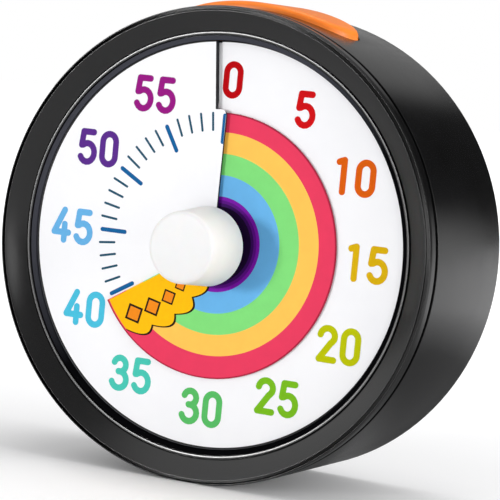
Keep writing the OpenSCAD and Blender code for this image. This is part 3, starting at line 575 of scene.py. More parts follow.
def cutFlat(piece, height):
    # slices the piece off at the height it stands on and closes the cut
    solid = openSolid(piece.data)
    everything = solid.verts[:] + solid.edges[:] + solid.faces[:]
    bmesh.ops.bisect_plane(solid, geom=everything, dist=0.0001 * mm, plane_co=(0, 0, height),
                           plane_no=(0, 0, 1), clear_inner=True)
    bmesh.ops.holes_fill(solid, edges=[edge for edge in solid.edges if edge.is_boundary], sides=0)
    bmesh.ops.recalc_face_normals(solid, faces=solid.faces)
    closeSolid(solid, piece.data)


# Front ring, from its inner edge outwards: a shelf beside the dial, a thin bead between two fine
# grooves, a gently crowned sloped face, a deep groove, a ridge and a skirt. Each corner is
# (radius, depth, fillet) in mm.
ringValues = {"segments": 256, "sharpDeg": 32, "section": [
    (34.3, 1.0, 0), (34.3, -0.62, 0.06), (35.04, -0.92, 0.05), (35.1, -0.62, 0.02),
    (35.17, -1.02, 0.02), (35.2, -1.16, 0.02), (35.41, -1.19, 3.2), (35.62, -1.197, 0.02),
    (35.65, -1.0, 0.02), (35.74, -0.74, 0.02), (35.84, -1.09, 0.05), (37.45, -2.07, 25),
    (39.2, -3.0, 0.12), (39.2, -2.6, 0.06), (38.5, -2.45, 0.05), (38.5, -2.1, 0.05),
    (39.5, -1.72, 0.05), (39.68, -2.82, 0.08), (39.86, -2.8, 0.1), (39.99, -2.1, 0.3),
    (39.99, -0.62, 0.1), (39.3, -0.42, 0.05), (39.3, -0.3, 0), (37.9, -0.3, 0),
    (37.9, 2.4, 0.15), (36.5, 2.4, 0.15), (36.5, 1.0, 0)]}
frontRing = turnedPiece("frontRing", ringValues["section"], ringValues["segments"], caseAbs)
cutFlat(frontRing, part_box("bezel_ring")[0].z)
frontRing.data.set_sharp_from_angle(angle=math.radians(ringValues["sharpDeg"]))
# the shelf is charcoal grey at the upper left, and painted shade takes it over to black at the lower right
wallValues = {"colour": "#3f4047", "shade": "#08080a", "fadeFrom": -0.1, "fadeTo": 0.5, "rough": 0.5,
              "towards": (-0.6, 0, 0.8), "belowMm": 35.07}
wallAbs = mouldedPlastic("caseAbsWallPaintedShade", {
    "colour": wallValues["colour"], "shade": wallValues["colour"], "rough": wallValues["rough"],
    "roughSpread": 0.05, "cloudMm": 9.0, "grainMm": 0.3, "reliefMm": 0.001, "specular": 0.0})
tree = wallAbs.node_tree
outward = addNode(tree, "ShaderNodeVectorMath", {"operation": "NORMALIZE"}, {
    0: polarPlace(tree)[1]}).outputs[0]
upLeft = addNode(tree, "ShaderNodeVectorMath", {"operation": "DOT_PRODUCT"}, {
    0: outward, 1: wallValues["towards"]}).outputs["Value"]
fade = addNode(tree, "ShaderNodeMapRange", inputs={
    "Value": upLeft, "From Min": wallValues["fadeFrom"],
    "From Max": wallValues["fadeTo"]}).outputs["Result"]
wallPaintedShade = addNode(tree, "ShaderNodeMix", {"data_type": "RGBA"}, {
    "Factor": fade, 6: linear(wallValues["shade"]), 7: linear(wallValues["colour"])}).outputs[2]
tree.links.new(wallPaintedShade, tree.nodes["Principled BSDF"].inputs["Base Color"])
frontRing.data.materials.append(wallAbs)
for face in frontRing.data.polygons:
    reach = math.hypot(face.center.x, face.center.z - spindleHeight)
    if reach < wallValues["belowMm"] * mm:
        face.material_index = 1
print("front ring turned")

# Knob: slightly tapered cup with a rounded front edge, a hollow behind and a bored stem for the spindle
knobValues = {"segments": 160, "section": [
    (0.0, -12.3, 0), (5.95, -12.3, 0.8), (6.7, -2.6, 0.25), (5.6, -2.6, 0.1), (4.7, -10.3, 0.4),
    (3.3, -10.3, 0.3), (3.3, -3.1, 0.1), (2.0, -3.1, 0.1), (2.0, -10.5, 0), (0.0, -10.5, 0)]}
timerKnob = turnedPiece("timerKnob", knobValues["section"], knobValues["segments"], knobAbs)
print("knob turned")


def mergedCopy(name, source, sharpDeg):
    # a node's own shape with its loose triangles joined, so that curves shade smoothly
    solid = openSolid(nodes[source].data)
    bmesh.ops.remove_doubles(solid, verts=solid.verts, dist=0.002 * mm)
    piece = solidPiece(name, solid)
    if "custom_normal" in piece.data.attributes:
        piece.data.attributes.remove(piece.data.attributes["custom_normal"])
    piece.data.shade_smooth()
    piece.data.set_sharp_from_angle(angle=math.radians(sharpDeg))
    return piece


# the tube starts with a shallow step, so that a dark seam parts it from the front ring
tubeValues = {"stepDepth": 0.5, "stepRadius": 39.6, "stepSlope": 0.03, "sharpDeg": 28}
caseTube = mergedCopy("caseTube", "case_barrel", tubeValues["sharpDeg"])
caseTube.data.materials.append(caseAbs)
solid = openSolid(caseTube.data)
for depth in (tubeValues["stepDepth"], tubeValues["stepDepth"] + tubeValues["stepSlope"]):
    everything = solid.verts[:] + solid.edges[:] + solid.faces[:]
    bmesh.ops.bisect_plane(solid, geom=everything, dist=0.0001 * mm, plane_co=toFrame(0, depth, 0),
                           plane_no=(0, 1, 0))
stepEnd = dialDepth + (tubeValues["stepDepth"] + tubeValues["stepSlope"] / 3) * mm
for vertex in solid.verts:
    reach = math.hypot(vertex.co.x, vertex.co.z - spindleHeight)
    if vertex.co.y < stepEnd and reach > tubeValues["stepRadius"] * mm:
        shrink = tubeValues["stepRadius"] * mm / reach
        vertex.co.x *= shrink
        vertex.co.z = spindleHeight + (vertex.co.z - spindleHeight) * shrink
closeSolid(solid, caseTube.data)
caseTube.data.set_sharp_from_angle(angle=math.radians(tubeValues["sharpDeg"]))
print("case tube joined")

# Alarm button: an oval cut from a cylinder a little larger than the case, rounded at its upper edge, on a
# hidden flange with a plunger post and two spring posts
buttonValues = {"length": 33.0, "width": 15.6, "centreDepth": 12.1, "power": 2.3, "around": 144,
                "topRadius": 41.2, "edge": 0.9, "edgeRows": 8, "flangeTop": 37.85, "flangeFoot": 36.25,
                "flange": 1.0, "posts": [(-10.5, 2.1), (0.0, 2.0), (10.5, 2.1)], "postFoot": 33.4,
                "postOverlap": 0.6}


def buttonRing(points, grow, radius, drop, share=1.0):
    # one closed row of points round the oval, on a cylinder about the spindle's axis, lowered by drop
    v = buttonValues
    first = len(points)
    for k in range(v["around"]):
        turn = 2 * math.pi * k / v["around"]
        c, s = math.cos(turn), math.sin(turn)
        x = share * (v["length"] / 2 + grow) * math.copysign(abs(c) ** (2 / v["power"]), c)
        y = share * (v["width"] / 2 + grow) * math.copysign(abs(s) ** (2 / v["power"]), s)
        points.append(toFrame(x, v["centreDepth"] + y, math.sqrt(radius ** 2 - x * x) - drop))
    return list(range(first, len(points)))


def makeButton():
    v = buttonValues
    points, rows = [], []
    for share in (0.02, 0.15, 0.3, 0.45, 0.6, 0.74, 0.86, 0.95):
        rows.append(buttonRing(points, -v["edge"], v["topRadius"], 0.0, share))
    for k in range(v["edgeRows"] + 1):
        bend = math.radians(90 * k / v["edgeRows"])
        inset, drop = v["edge"] * (1 - math.sin(bend)), v["edge"] * (1 - math.cos(bend))
        rows.append(buttonRing(points, -inset, v["topRadius"], drop))
    rows.append(buttonRing(points, 0.0, v["flangeTop"], 0.0))
    rows.append(buttonRing(points, v["flange"], v["flangeTop"], 0.0))
    rows.append(buttonRing(points, v["flange"], v["flangeFoot"], 0.0))
    for share in (0.8, 0.6, 0.4, 0.2, 0.02):
        rows.append(buttonRing(points, v["flange"], v["flangeFoot"], 0.0, share))
    count = v["around"]
    faces = [(upper[k], upper[(k + 1) % count], lower[(k + 1) % count], lower[k])
             for upper, lower in zip(rows, rows[1:]) for k in range(count)]
    for row, radius in ((rows[0], v["topRadius"]), (rows[-1], v["flangeFoot"])):
        points.append(toFrame(0, v["centreDepth"], radius))
        faces += [(row[k], row[(k + 1) % count], len(points) - 1) for k in range(count)]
    button = newPiece("alarmButton", points, faces)
    posts = bmesh.new()
    for x, radius in v["posts"]:
        top = math.sqrt(v["flangeFoot"] ** 2 - x * x) + v["postOverlap"]
        made = bmesh.ops.create_cone(posts, cap_ends=True, segments=48, radius1=radius * mm,
                                     radius2=radius * mm, depth=(top - v["postFoot"]) * mm)
        middle = toFrame(x, v["centreDepth"], (top + v["postFoot"]) / 2)
        bmesh.ops.translate(posts, verts=made["verts"], vec=middle)
    postPiece = solidPiece("posts", posts)
    joined = button.modifiers.new("posts", "BOOLEAN")
    joined.operation = "UNION"
    joined.object = postPiece
    for shape in (button.data, postPiece.data):
        whole = openSolid(shape)
        bmesh.ops.recalc_face_normals(whole, faces=whole.faces)
        closeSolid(whole, shape)
    settle(button)
    bpy.data.objects.remove(postPiece)
    button.data.materials.clear()
    button.data.materials.append(buttonAbs)
    return button


alarmButton = makeButton()
print("button made")

# Button springs: the same coils as the node's
pressSprings = mergedCopy("pressSprings", "button_springs", sharpDeg=40)
pressSprings.data.materials.append(springWire)


def arc(cx, cz, rx, rz, start, end, steps=14):
    # points of an elliptical bow from one angle to another, in degrees from the right
    turns = [math.radians(start + (end - start) * k / steps) for k in range(steps + 1)]
    return [(cx + rx * math.cos(t), cz + rz * math.sin(t)) for t in turns]


# Dial numerals: each digit has its width and the middle lines of its pen strokes, in mm from its lower
# left corner
numeralValues = {"stroke": 1.1, "height": 5.15, "ringRadius": 27.6, "lift": 0.22, "across": 0.28,
                 "gap": 0.45, "gapAfterOne": 1.6, "thickness": 0.03, "fineness": 0.12}
strokes = {
    "0": (2.55, [arc(1.275, 3.8, 1.275, 1.35, 0, 180) + arc(1.275, 1.35, 1.275, 1.35, 180, 360)
                 + [(2.55, 3.8)]]),
    "1": (0.9, [[(0.0, 4.85), (0.9, 5.2), (0.9, 0.0)]]),
    "2": (2.7, [arc(1.32, 3.84, 1.3, 1.31, 172, -22) + arc(1.0, 3.6, 1.5, 1.1, -14, -48, 4)
                + [(0.1, 0.02), (2.7, 0.0)]]),
    "3": (2.7, [arc(1.28, 3.97, 1.14, 1.18, 163, -82), arc(1.28, 1.42, 1.4, 1.42, 98, -162)]),
    "4": (2.8, [[(1.8, 5.15), (0.0, 1.3), (2.8, 1.3)], [(1.98, 2.7), (1.98, 0.0)]]),
    "5": (2.7, [[(2.35, 5.15), (0.38, 5.15), (0.14, 2.82)] + arc(1.29, 1.6, 1.39, 1.6, 128, -152)])}
sunk = 0.01  # mm that the underside of a print lies inside its sheet


def penOutline(lines, half, cell):
    # closed outlines round all points nearer than half a pen's width to a line, found on a grid of
    # triangles
    pieces = [(Vector(a), Vector(b)) for line in lines for a, b in zip(line, line[1:])]
    xs = [p.x for pair in pieces for p in pair]
    zs = [p.y for pair in pieces for p in pair]
    left, low = min(xs) - half - cell, min(zs) - half - cell
    columns = int((max(xs) + half + cell - left) / cell) + 2
    rows = int((max(zs) + half + cell - low) / cell) + 2

    def inkDepth(i, j):
        spot = Vector((left + i * cell, low + j * cell))
        nearest = math.inf
        for a, b in pieces:
            run = b - a
            t = max(0.0, min(1.0, (spot - a).dot(run) / run.length_squared))
            nearest = min(nearest, (spot - a - run * t).length)
        return half - nearest + 1e-6

    depth = {(i, j): inkDepth(i, j) for i in range(columns) for j in range(rows)}

    def crossing(a, b):
        share = depth[a] / (depth[a] - depth[b])
        x = a[0] + (b[0] - a[0]) * share
        z = a[1] + (b[1] - a[1]) * share
        return left + cell * x, low + cell * z

    follow, spots = {}, {}
    for i in range(columns - 1):
        for j in range(rows - 1):
            for corners in (((i, j), (i + 1, j), (i + 1, j + 1)), ((i, j), (i + 1, j + 1), (i, j + 1))):
                inside = [depth[corner] > 0 for corner in corners]
                if all(inside) or not any(inside):
                    continue
                odd = inside.index(sum(inside) == 1)
                a, b, c = (corners[(odd + k) % 3] for k in range(3))
                first, last = tuple(sorted((a, b))), tuple(sorted((a, c)))
                spots[first], spots[last] = crossing(*first), crossing(*last)
                if inside[odd]:
                    follow[first] = last
                else:
                    follow[last] = first
    outlines = []
    while follow:
        start, here = follow.popitem()
        outline = [spots[start]]
        while here != start:
            outline.append(spots[here])
            here = follow.pop(here)
        outlines.append(outline)
    return outlines


def addPrint(solid, outlines, place, surface, thickness):
    # fills flat outlines and gives them the ink's thickness, with the underside just inside the sheet
    flat = bmesh.new()
    for outline in outlines:
        corners = [flat.verts.new((x, z, 0)) for x, z in outline]
        for a, b in zip(corners, corners[1:] + corners[:1]):
            flat.edges.new((a, b))
    bmesh.ops.triangle_fill(flat, use_beauty=True, edges=flat.edges[:])
    lookup = {}
    rims = [edge for edge in flat.edges if len(edge.link_faces) == 1]
    for vertex in flat.verts:
        x, z = place[0] + vertex.co.x, place[1] + vertex.co.y
        depth = surface(x, z)
        lookup[vertex] = [solid.verts.new(toFrame(x, level, z))
                          for level in (depth - thickness, depth + sunk)]
    for face in flat.faces:
        solid.faces.new([lookup[vertex][0] for vertex in face.verts])
        solid.faces.new([lookup[vertex][1] for vertex in reversed(face.verts)])
    for edge in rims:
        a, b = edge.verts
        solid.faces.new((lookup[a][0], lookup[b][0], lookup[b][1], lookup[a][1]))
    flat.free()


def makeNumerals():
    v = numeralValues
    outlines = {digit: penOutline(lines, v["stroke"] / 2, v["fineness"])
                for digit, (width, lines) in strokes.items()}
    solid = bmesh.new()
    for hour in range(12):
        digits = str(hour * 5)
        gap = v["gapAfterOne"] if digits[0] == "1" else v["gap"]
        widths = [strokes[digit][0] + v["stroke"] for digit in digits]
        total = sum(widths) + gap * (len(digits) - 1)
        turn = math.radians(30 * hour)
        x = v["ringRadius"] * math.sin(turn) + v["across"] - total / 2 + v["stroke"] / 2
        z = v["ringRadius"] * math.cos(turn) + v["lift"] - v["height"] / 2
        for digit, width in zip(digits, widths):
            addPrint(solid, outlines[digit], (x, z), onDial, v["thickness"])
            x += width + gap
    bmesh.ops.recalc_face_normals(solid, faces=solid.faces)
    numerals = solidPiece("dialNumerals", solid)
    numerals.data.materials.append(numeralInk)
    return numerals


dialNumerals = makeNumerals()
print("numerals printed:", len(dialNumerals.data.polygons), "faces")


def minuteTree():
    # a round-ended bar for each minute, set out about the spindle, each a little further forward than the
    # last
    tree, given = nodeTree("minuteMarks", {
        "Marks": ("NodeSocketInt", 60), "Leave out every": ("NodeSocketInt", 5),
        "Inner radius": ("NodeSocketFloat", 19 * mm), "Outer radius": ("NodeSocketFloat", 22 * mm),
        "Width": ("NodeSocketFloat", 0.3 * mm), "Thickness": ("NodeSocketFloat", 0.03 * mm),
        "Dial front": ("NodeSocketFloat", 0.0), "Dial rise": ("NodeSocketFloat", 1.0 * mm),
        "Axis height": ("NodeSocketFloat", 0.0), "Finish": ("NodeSocketMaterial", None)})
    length = addNode(tree, "ShaderNodeMath", {"operation": "SUBTRACT"}, {
        0: given["Outer radius"], 1: given["Inner radius"]}).outputs[0]
    middle = addNode(tree, "ShaderNodeMath", {"operation": "MULTIPLY_ADD"}, {
        0: length, 1: 0.5, 2: given["Inner radius"]}).outputs[0]
    bend = addNode(tree, "ShaderNodeMath", {"operation": "MULTIPLY"}, {
        0: given["Width"], 1: 0.5}).outputs[0]
    bar = addNode(tree, "GeometryNodeCurvePrimitiveQuadrilateral", inputs={
        "Width": length, "Height": given["Width"]}).outputs[0]
    rounded = addNode(tree, "GeometryNodeFilletCurve", {"mode": "POLY"}, {
        "Curve": bar, "Count": 5, "Radius": bend, "Limit Radius": True}).outputs[0]
    face = addNode(tree, "GeometryNodeFillCurve", {"mode": "NGONS"}, {"Curve": rounded}).outputs[0]
    raised = addNode(tree, "GeometryNodeExtrudeMesh", {"mode": "FACES"}, {
        "Mesh": face, "Offset Scale": given["Thickness"], "Individual": False}).outputs[0]
    under = addNode(tree, "GeometryNodeFlipFaces", inputs={"Mesh": face}).outputs[0]
    both = addNode(tree, "GeometryNodeJoinGeometry")
    tree.links.new(raised, both.inputs[0])
    tree.links.new(under, both.inputs[0])
    mark = addNode(tree, "GeometryNodeMergeByDistance", inputs={
        "Geometry": both.outputs[0], "Distance": 0.001 * mm}).outputs[0]
    index = addNode(tree, "GeometryNodeInputIndex").outputs[0]
    number = addNode(tree, "ShaderNodeMath", {"operation": "ADD"}, {0: index, 1: 1.0}).outputs[0]
    share = addNode(tree, "ShaderNodeMath", {"operation": "DIVIDE"}, {
        0: number, 1: given["Marks"]}).outputs[0]
    angle = addNode(tree, "ShaderNodeMath", {"operation": "MULTIPLY"}, {
        0: share, 1: 2 * math.pi}).outputs[0]
    sine = addNode(tree, "ShaderNodeMath", {"operation": "SINE"}, {0: angle}).outputs[0]
    cosine = addNode(tree, "ShaderNodeMath", {"operation": "COSINE"}, {0: angle}).outputs[0]
    across = addNode(tree, "ShaderNodeMath", {"operation": "MULTIPLY"}, {0: middle, 1: sine}).outputs[0]
    up = addNode(tree, "ShaderNodeMath", {"operation": "MULTIPLY_ADD"}, {
        0: middle, 1: cosine, 2: given["Axis height"]}).outputs[0]
    rise = addNode(tree, "ShaderNodeMath", {"operation": "MULTIPLY"}, {
        0: share, 1: given["Dial rise"]}).outputs[0]
    depth = addNode(tree, "ShaderNodeMath", {"operation": "SUBTRACT"}, {
        0: given["Dial front"], 1: rise}).outputs[0]
    spot = addNode(tree, "ShaderNodeCombineXYZ", inputs={"X": across, "Y": depth, "Z": up}).outputs[0]
    row = addNode(tree, "GeometryNodeMeshLine", inputs={"Count": given["Marks"]}).outputs[0]
    ring = addNode(tree, "GeometryNodeSetPosition", inputs={
        "Geometry": row, "Position": spot}).outputs[0]
    rest = addNode(tree, "ShaderNodeMath", {"operation": "MODULO"}, {
        0: number, 1: given["Leave out every"]}).outputs[0]
    kept = addNode(tree, "FunctionNodeCompare", {"data_type": "FLOAT", "operation": "GREATER_THAN"}, {
        0: rest, 1: 0.5}).outputs[0]
    swing = addNode(tree, "ShaderNodeMath", {"operation": "SUBTRACT"}, {
        0: angle, 1: math.pi / 2}).outputs[0]
    slant = addNode(tree, "ShaderNodeCombineXYZ", inputs={"X": math.pi / 2, "Y": swing}).outputs[0]
    marks = addNode(tree, "GeometryNodeInstanceOnPoints", inputs={
        "Points": ring, "Selection": kept, "Instance": mark, "Rotation": slant}).outputs[0]
    plain = addNode(tree, "GeometryNodeRealizeInstances", inputs={"Geometry": marks}).outputs[0]
    painted = addNode(tree, "GeometryNodeSetMaterial", inputs={
        "Geometry": plain, "Material": given["Finish"]}).outputs[0]
    addNode(tree, "NodeGroupOutput", inputs={"Geometry": painted})
    return tree


# Beyond the disc's rim a tongue of the sheet closes the slot, just behind the lower edge of the step
tongueValues = {"startDeg": -5.3, "endDeg": -3.98, "inner": 22.9, "outer": 33.9, "depth": 0.625,
                "thickness": 0.2, "edge": 0.05}


def makeTongue():
    v = tongueValues
    corners = []
    for depth in (v["depth"], v["depth"] + v["thickness"]):
        for radius, angle in ((v["inner"], v["startDeg"]), (v["inner"], v["endDeg"]),
                              (v["outer"], v["endDeg"]), (v["outer"], v["startDeg"])):
            turn = math.radians(angle)
            corners.append(toFrame(radius * math.sin(turn), depth, radius * math.cos(turn)))
    sides = [(k, (k + 1) % 4, (k + 1) % 4 + 4, k + 4) for k in range(4)]
    tongue = newPiece("slotTongue", corners, [(3, 2, 1, 0), (4, 5, 6, 7)] + sides)
    rounded = tongue.modifiers.new("edge", "BEVEL")
    rounded.width = v["edge"] * mm
    rounded.segments = 2
    settle(tongue)
    tongue.data.materials.append(dialSheet)
    return tongue


slotTongue = makeTongue()
print("slot closed")

minuteMarks = minuteTree()
markValues = {
    "fiveMinuteMarks": {"Marks": 12, "Leave out every": 13, "Inner radius": 16.7 * mm,
                        "Outer radius": 21.8 * mm, "Width": 0.72 * mm, "Finish": majorInk},
    "minuteMarks": {"Marks": 60, "Leave out every": 5, "Inner radius": 18.8 * mm,
                    "Outer radius": 22.0 * mm, "Width": 0.38 * mm, "Finish": minorInk}}
markPlace = {"Thickness": 0.035 * mm, "Dial rise": windingValues["step"] * mm,
             "Dial front": dialDepth + (windingValues["step"] / 2 + sunk) * mm,
             "Axis height": spindleHeight + 0.35 * mm}
slotEdge = {"withinMm": 0.6, "slope": 0.007}
markPieces = []
for name, values in markValues.items():
    marks = newPiece(name, [(0, 0, 0)])
    runTree(marks, minuteMarks, {**values, **markPlace})
    settle(marks)
    for vertex in marks.data.vertices:  # the sixtieth mark stops at the slot's edge
        if 0 < vertex.co.x < slotEdge["withinMm"] * mm and vertex.co.z > spindleHeight:
            vertex.co.x = min(vertex.co.x, slotEdge["slope"] * (vertex.co.z - spindleHeight))
    markPieces.append(marks)
print("minute marks printed")

# The disc's leading end carries a plain gold tab with a scalloped dark edge and a row of amber diamonds.
# Each diamond is (radius, half diagonal) in mm.
tabValues = {"leadDeg": 238.8, "fromLead": 0.12, "innerRadius": 5.4, "outerRadius": 21.9, "spreadMm": 8.6,
             "swellLeast": 0.32, "swellStart": 0.14, "swellSpan": 0.62, "scallops": 4, "scallopDepth": 1.5,
             "lineWidth": 0.38, "diamonds": [(9.0, 0.95), (12.1, 1.15), (15.5, 1.35), (19.0, 1.45)],
             "diamondBorder": 1.35, "diamondFill": 0.7,
             "goldThickness": 0.02, "brownThickness": 0.03, "amberThickness": 0.04}


def polar(radius, angle):
    return radius * math.sin(math.radians(angle)), radius * math.cos(math.radians(angle))


def tabEdge(radius):
    # how far the tab reaches back from the leading edge at this radius, in mm: a swell with scallops
    v = tabValues
    share = (radius - v["innerRadius"]) / (v["outerRadius"] - v["innerRadius"])
    bow = math.sin(math.pi * min(1.0, v["swellStart"] + v["swellSpan"] * share))
    swell = v["spreadMm"] * (v["swellLeast"] + (1 - v["swellLeast"]) * bow)
    return swell + v["scallopDepth"] * (abs(math.sin(math.pi * v["scallops"] * share)) - 0.5)


def addSheet(solid, place, across, along, thickness, slot):
    # a thin closed sheet over a grid; place turns shares of its width and length into x and z on the disc
    top, foot = {}, {}
    for i in range(across + 1):
        for j in range(along + 1):
            x, z = place(i / across, j / along)
            top[i, j] = solid.verts.new(toFrame(x, onDisc(x, z) - thickness, z))
            foot[i, j] = solid.verts.new(toFrame(x, onDisc(x, z) + sunk, z))
    made = []
    for i in range(across):
        for j in range(along):
            square = [(i, j), (i + 1, j), (i + 1, j + 1), (i, j + 1)]
            made.append(solid.faces.new([top[corner] for corner in square]))
            made.append(solid.faces.new([foot[square[-k]] for k in range(4)]))
    rim = ([(i, 0) for i in range(across)] + [(across, j) for j in range(along)]
           + [(i, along) for i in range(across, 0, -1)] + [(0, j) for j in range(along, 0, -1)])
    for a, b in zip(rim, rim[1:] + rim[:1]):
        made.append(solid.faces.new((top[a], top[b], foot[b], foot[a])))
    for face in made:
        face.material_index = slot


def makeTab():
    v = tabValues
    solid = bmesh.new()
    span = v["outerRadius"] - v["innerRadius"]

    def gold(i, j):
        radius = v["innerRadius"] + span * j
        return polar(radius, v["leadDeg"] - math.degrees((v["fromLead"] + tabEdge(radius) * i) / radius))

    def edgeLine(i, j):
        radius = v["innerRadius"] + span * j
        reach = v["fromLead"] + tabEdge(radius) + v["lineWidth"] * (i - 0.5)
        return polar(radius, v["leadDeg"] - math.degrees(reach / radius))

    # the last number of each is its ink: 0 gold, 1 amber, 2 brown
    addSheet(solid, gold, 16, 96, v["goldThickness"], 0)
    addSheet(solid, edgeLine, 2, 160, v["brownThickness"], 2)
    for radius, size in v["diamonds"]:
        reach = 0.5 * tabEdge(radius)
        cx, cz = polar(radius, v["leadDeg"] - math.degrees(reach / radius))
        for scale, thickness, slot in ((v["diamondBorder"], v["brownThickness"], 2),
                                       (1.0, v["amberThickness"], 1)):
            def diamond(i, j, side=2 * size * scale * v["diamondFill"]):
                across, up = (i - 0.5) * side, (j - 0.5) * side
                turn = math.radians(45 - v["leadDeg"])
                return (cx + across * math.cos(turn) - up * math.sin(turn),
                        cz + across * math.sin(turn) + up * math.cos(turn))
            addSheet(solid, diamond, 6, 6, thickness, slot)
    bmesh.ops.recalc_face_normals(solid, faces=solid.faces)
    tab = solidPiece("discTab", solid)
    for finish in (goldInk, amberInk, brownInk):
        tab.data.materials.append(finish)
    return tab


discTab = makeTab()
print("disc tab printed")

for piece, body, node, slot in (
        (frontRing, "case", "bezel_ring", "case_black"), (caseTube, "case", "case_barrel", "case_black"),
        (timerKnob, "knob", "setting_knob", "knob_white"),
        (alarmButton, "button", "alarm_button", "button_orange"),
        (dialNumerals, "case", None, "dial_white"), (markPieces[0], "case", None, "dial_white"),
        (markPieces[1], "case", None, "dial_white"), (slotTongue, "case", None, "dial_white"),
        (pressSprings, "case", "button_springs", "steel"), (discTab, "disc", None, "disc_print")):
    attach(piece, body)
    if node:
        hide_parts(node)
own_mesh(pressSprings)

# Floor: pale sweep that is lit like the object and fades to white far from it. A glow is (from, to) in m
# from the middle, and its strength; the near glow is painted light that lifts the floor's shade around the
# object's foot. The painted shade behind the object that a mirror shows is (from, to) and its colour.
floorValues = {"halfSize": 3.0, "colour": "#e8e8e9", "fibresPerMetre": 900.0, "fibreReliefMm": 0.02,
               "nearPaintedLight": (0.006, 0.03, 0.23), "farGlow": (0.06, 0.6, 0.6), "mirrored": 0.3,
               "paintedShadeCentre": (0.025, 0.07, 0), "paintedShadeInMirror": (0.03, 0.125, "#4a4a4b")}
half = floorValues["halfSize"]
corners = [(-half, -half, 0), (half, -half, 0), (half, half, 0), (-half, half, 0)]
floor = newPiece("floor", corners, [(0, 1, 2, 3)])
floorPaper, tree = newMaterial("floorPaperMatt")[:2]
tree.nodes.clear()
place = addNode(tree, "ShaderNodeTexCoord").outputs["Object"]
away = addNode(tree, "ShaderNodeVectorMath", {"operation": "LENGTH"}, {0: place}).outputs["Value"]
ray = addNode(tree, "ShaderNodeLightPath").outputs
# painted shade: the floor darkens behind the object, in glossy rays only
behind = addNode(tree, "ShaderNodeVectorMath", {"operation": "DISTANCE"}, {
    0: place, 1: floorValues["paintedShadeCentre"]}).outputs["Value"]
dimFrom, dimTo, dimColour = floorValues["paintedShadeInMirror"]
mirrorPaintedShade = addNode(tree, "ShaderNodeMapRange", inputs={
    "Value": behind, "From Min": dimFrom, "From Max": dimTo,
    "To Min": ray["Is Glossy Ray"], "To Max": 0.0}).outputs["Result"]
paperColour = addNode(tree, "ShaderNodeMix", {"data_type": "RGBA"}, {
    "Factor": mirrorPaintedShade, 6: linear(floorValues["colour"]), 7: linear(dimColour)}).outputs[2]
fibre = addNode(tree, "ShaderNodeTexNoise", inputs={
    "Vector": place, "Scale": floorValues["fibresPerMetre"], "Detail": 2.0}).outputs["Fac"]
fibreRelief = addNode(tree, "ShaderNodeBump", inputs={
    "Height": fibre, "Distance": floorValues["fibreReliefMm"] * mm}).outputs["Normal"]
paper = addNode(tree, "ShaderNodeBsdfDiffuse", inputs={"Color": paperColour, "Normal": fibreRelief})
glow = 0.0
# the near glow is painted light that lifts the floor's shade around the foot, the far one fades to white
for start, end, strength in (floorValues["nearPaintedLight"], floorValues["farGlow"]):
    step = addNode(tree, "ShaderNodeMapRange", inputs={
        "Value": away, "From Min": start, "From Max": end,
        "To Min": 0.0, "To Max": strength}).outputs["Result"]
    glow = addNode(tree, "ShaderNodeMath", {"operation": "ADD"}, {0: glow, 1: step}).outputs[0]
seen = addNode(tree, "ShaderNodeMath", {"operation": "MULTIPLY"}, {
    0: ray["Is Glossy Ray"], 1: floorValues["mirrored"]}).outputs[0]
for kind in ("Is Camera Ray", "Is Transmission Ray"):
    seen = addNode(tree, "ShaderNodeMath", {"operation": "MAXIMUM"}, {0: seen, 1: ray[kind]}).outputs[0]
strength = addNode(tree, "ShaderNodeMath", {"operation": "MULTIPLY"}, {0: glow, 1: seen}).outputs[0]
shine = addNode(tree, "ShaderNodeEmission", inputs={"Color": (1, 1, 1, 1), "Strength": strength})
mixed = addNode(tree, "ShaderNodeAddShader", inputs={0: paper.outputs[0], 1: shine.outputs[0]})
addNode(tree, "ShaderNodeOutputMaterial", inputs={"Surface": mixed.outputs[0]})
floor.data.materials.append(floorPaper)
print("floor laid")

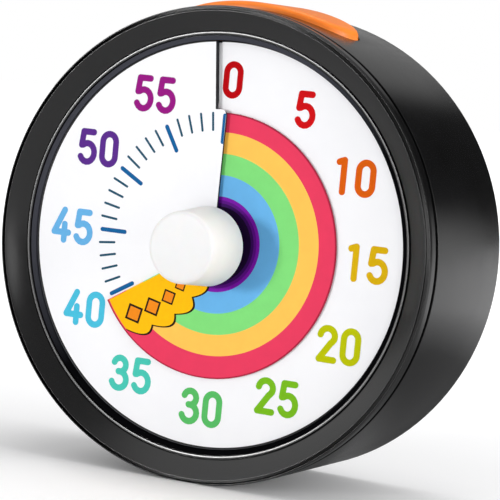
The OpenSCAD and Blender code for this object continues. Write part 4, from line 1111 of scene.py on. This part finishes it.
# Room: white to the camera, a soft grey as the light that falls on the object, and in glossy surfaces a
# grey wall with darker and brighter panels. Each panel is (turn from straight behind towards the right,
# height, half width, soft edge) in degrees, and its level.
roomValues = {"fill": 0.52, "wall": 0.45, "panels": [
    (18, 14, 20, 14, 0.02), (25, -6, 3, 14, 0.75), (-14, 28, 10, 8, 0.35), (-75, 5, 30, 20, 0.15),
    (150, 35, 40, 25, 0.35), (-120, 38, 25, 22, 1.5)]}
world = bpy.data.worlds.new("studio")
scene.world = world
world.use_nodes = True
world.cycles.sampling_method = "NONE"
tree = world.node_tree
tree.nodes.clear()
ray = addNode(tree, "ShaderNodeLightPath").outputs
way = addNode(tree, "ShaderNodeTexCoord").outputs["Generated"]
level = roomValues["wall"]
for turn, height, width, soft, value in roomValues["panels"]:
    turn, height = math.radians(turn), math.radians(height)
    middle = (math.sin(turn) * math.cos(height), math.cos(turn) * math.cos(height), math.sin(height))
    near = addNode(tree, "ShaderNodeVectorMath", {"operation": "DOT_PRODUCT"}, {
        0: way, 1: middle}).outputs["Value"]
    outer, inner = math.cos(math.radians(width + soft)), math.cos(math.radians(width))
    level = addNode(tree, "ShaderNodeMapRange", {"interpolation_type": "SMOOTHSTEP"}, {
        "Value": near, "From Min": outer, "From Max": inner,
        "To Min": level, "To Max": value}).outputs["Result"]
mirrored = addNode(tree, "ShaderNodeMapRange", inputs={
    "Value": ray["Is Glossy Ray"], "To Min": roomValues["fill"], "To Max": level}).outputs["Result"]
seen = addNode(tree, "ShaderNodeMath", {"operation": "MAXIMUM"}, {
    0: ray["Is Camera Ray"], 1: ray["Is Transmission Ray"]}).outputs[0]
strength = addNode(tree, "ShaderNodeMapRange", inputs={
    "Value": seen, "To Min": mirrored, "To Max": 1.0}).outputs["Result"]
backdrop = addNode(tree, "ShaderNodeBackground", inputs={"Color": (1, 1, 1, 1), "Strength": strength})
addNode(tree, "ShaderNodeOutputWorld", inputs={"Surface": backdrop.outputs[0]})

# Lamps: a small key at the left front, a weak one at the right front, a wide one from the right side and a
# wide one overhead. Places and sizes are in m, powers in W.
lampValues = {
    "keyLamp": {"place": (-0.34, -0.65, 0.08), "size": 0.1, "power": 2.12},
    "frontLamp": {"place": (0.29, -0.81, 0.1), "size": 0.2, "power": 0.3},
    "sideLamp": {"place": (0.8, -0.05, 0.12), "size": 0.45, "power": 5.0},
    "topLamp": {"place": (0.05, 0.12, 0.85), "size": 0.6, "power": 2.4}}
for name, value in lampValues.items():
    lamp = bpy.data.lights.new(name, "AREA")
    lamp.shape = "DISK"
    lamp.size = value["size"]
    lamp.energy = value["power"]
    holder = bpy.data.objects.new(name, lamp)
    scene.collection.objects.link(holder)
    aim = Vector((0, dialDepth, spindleHeight)) - Vector(value["place"])
    turned = aim.to_track_quat("-Z", "Y").to_matrix().to_4x4()
    holder.matrix_world = Matrix.Translation(value["place"]) @ turned
print("room lit")

scene.view_settings.view_transform = "Standard"
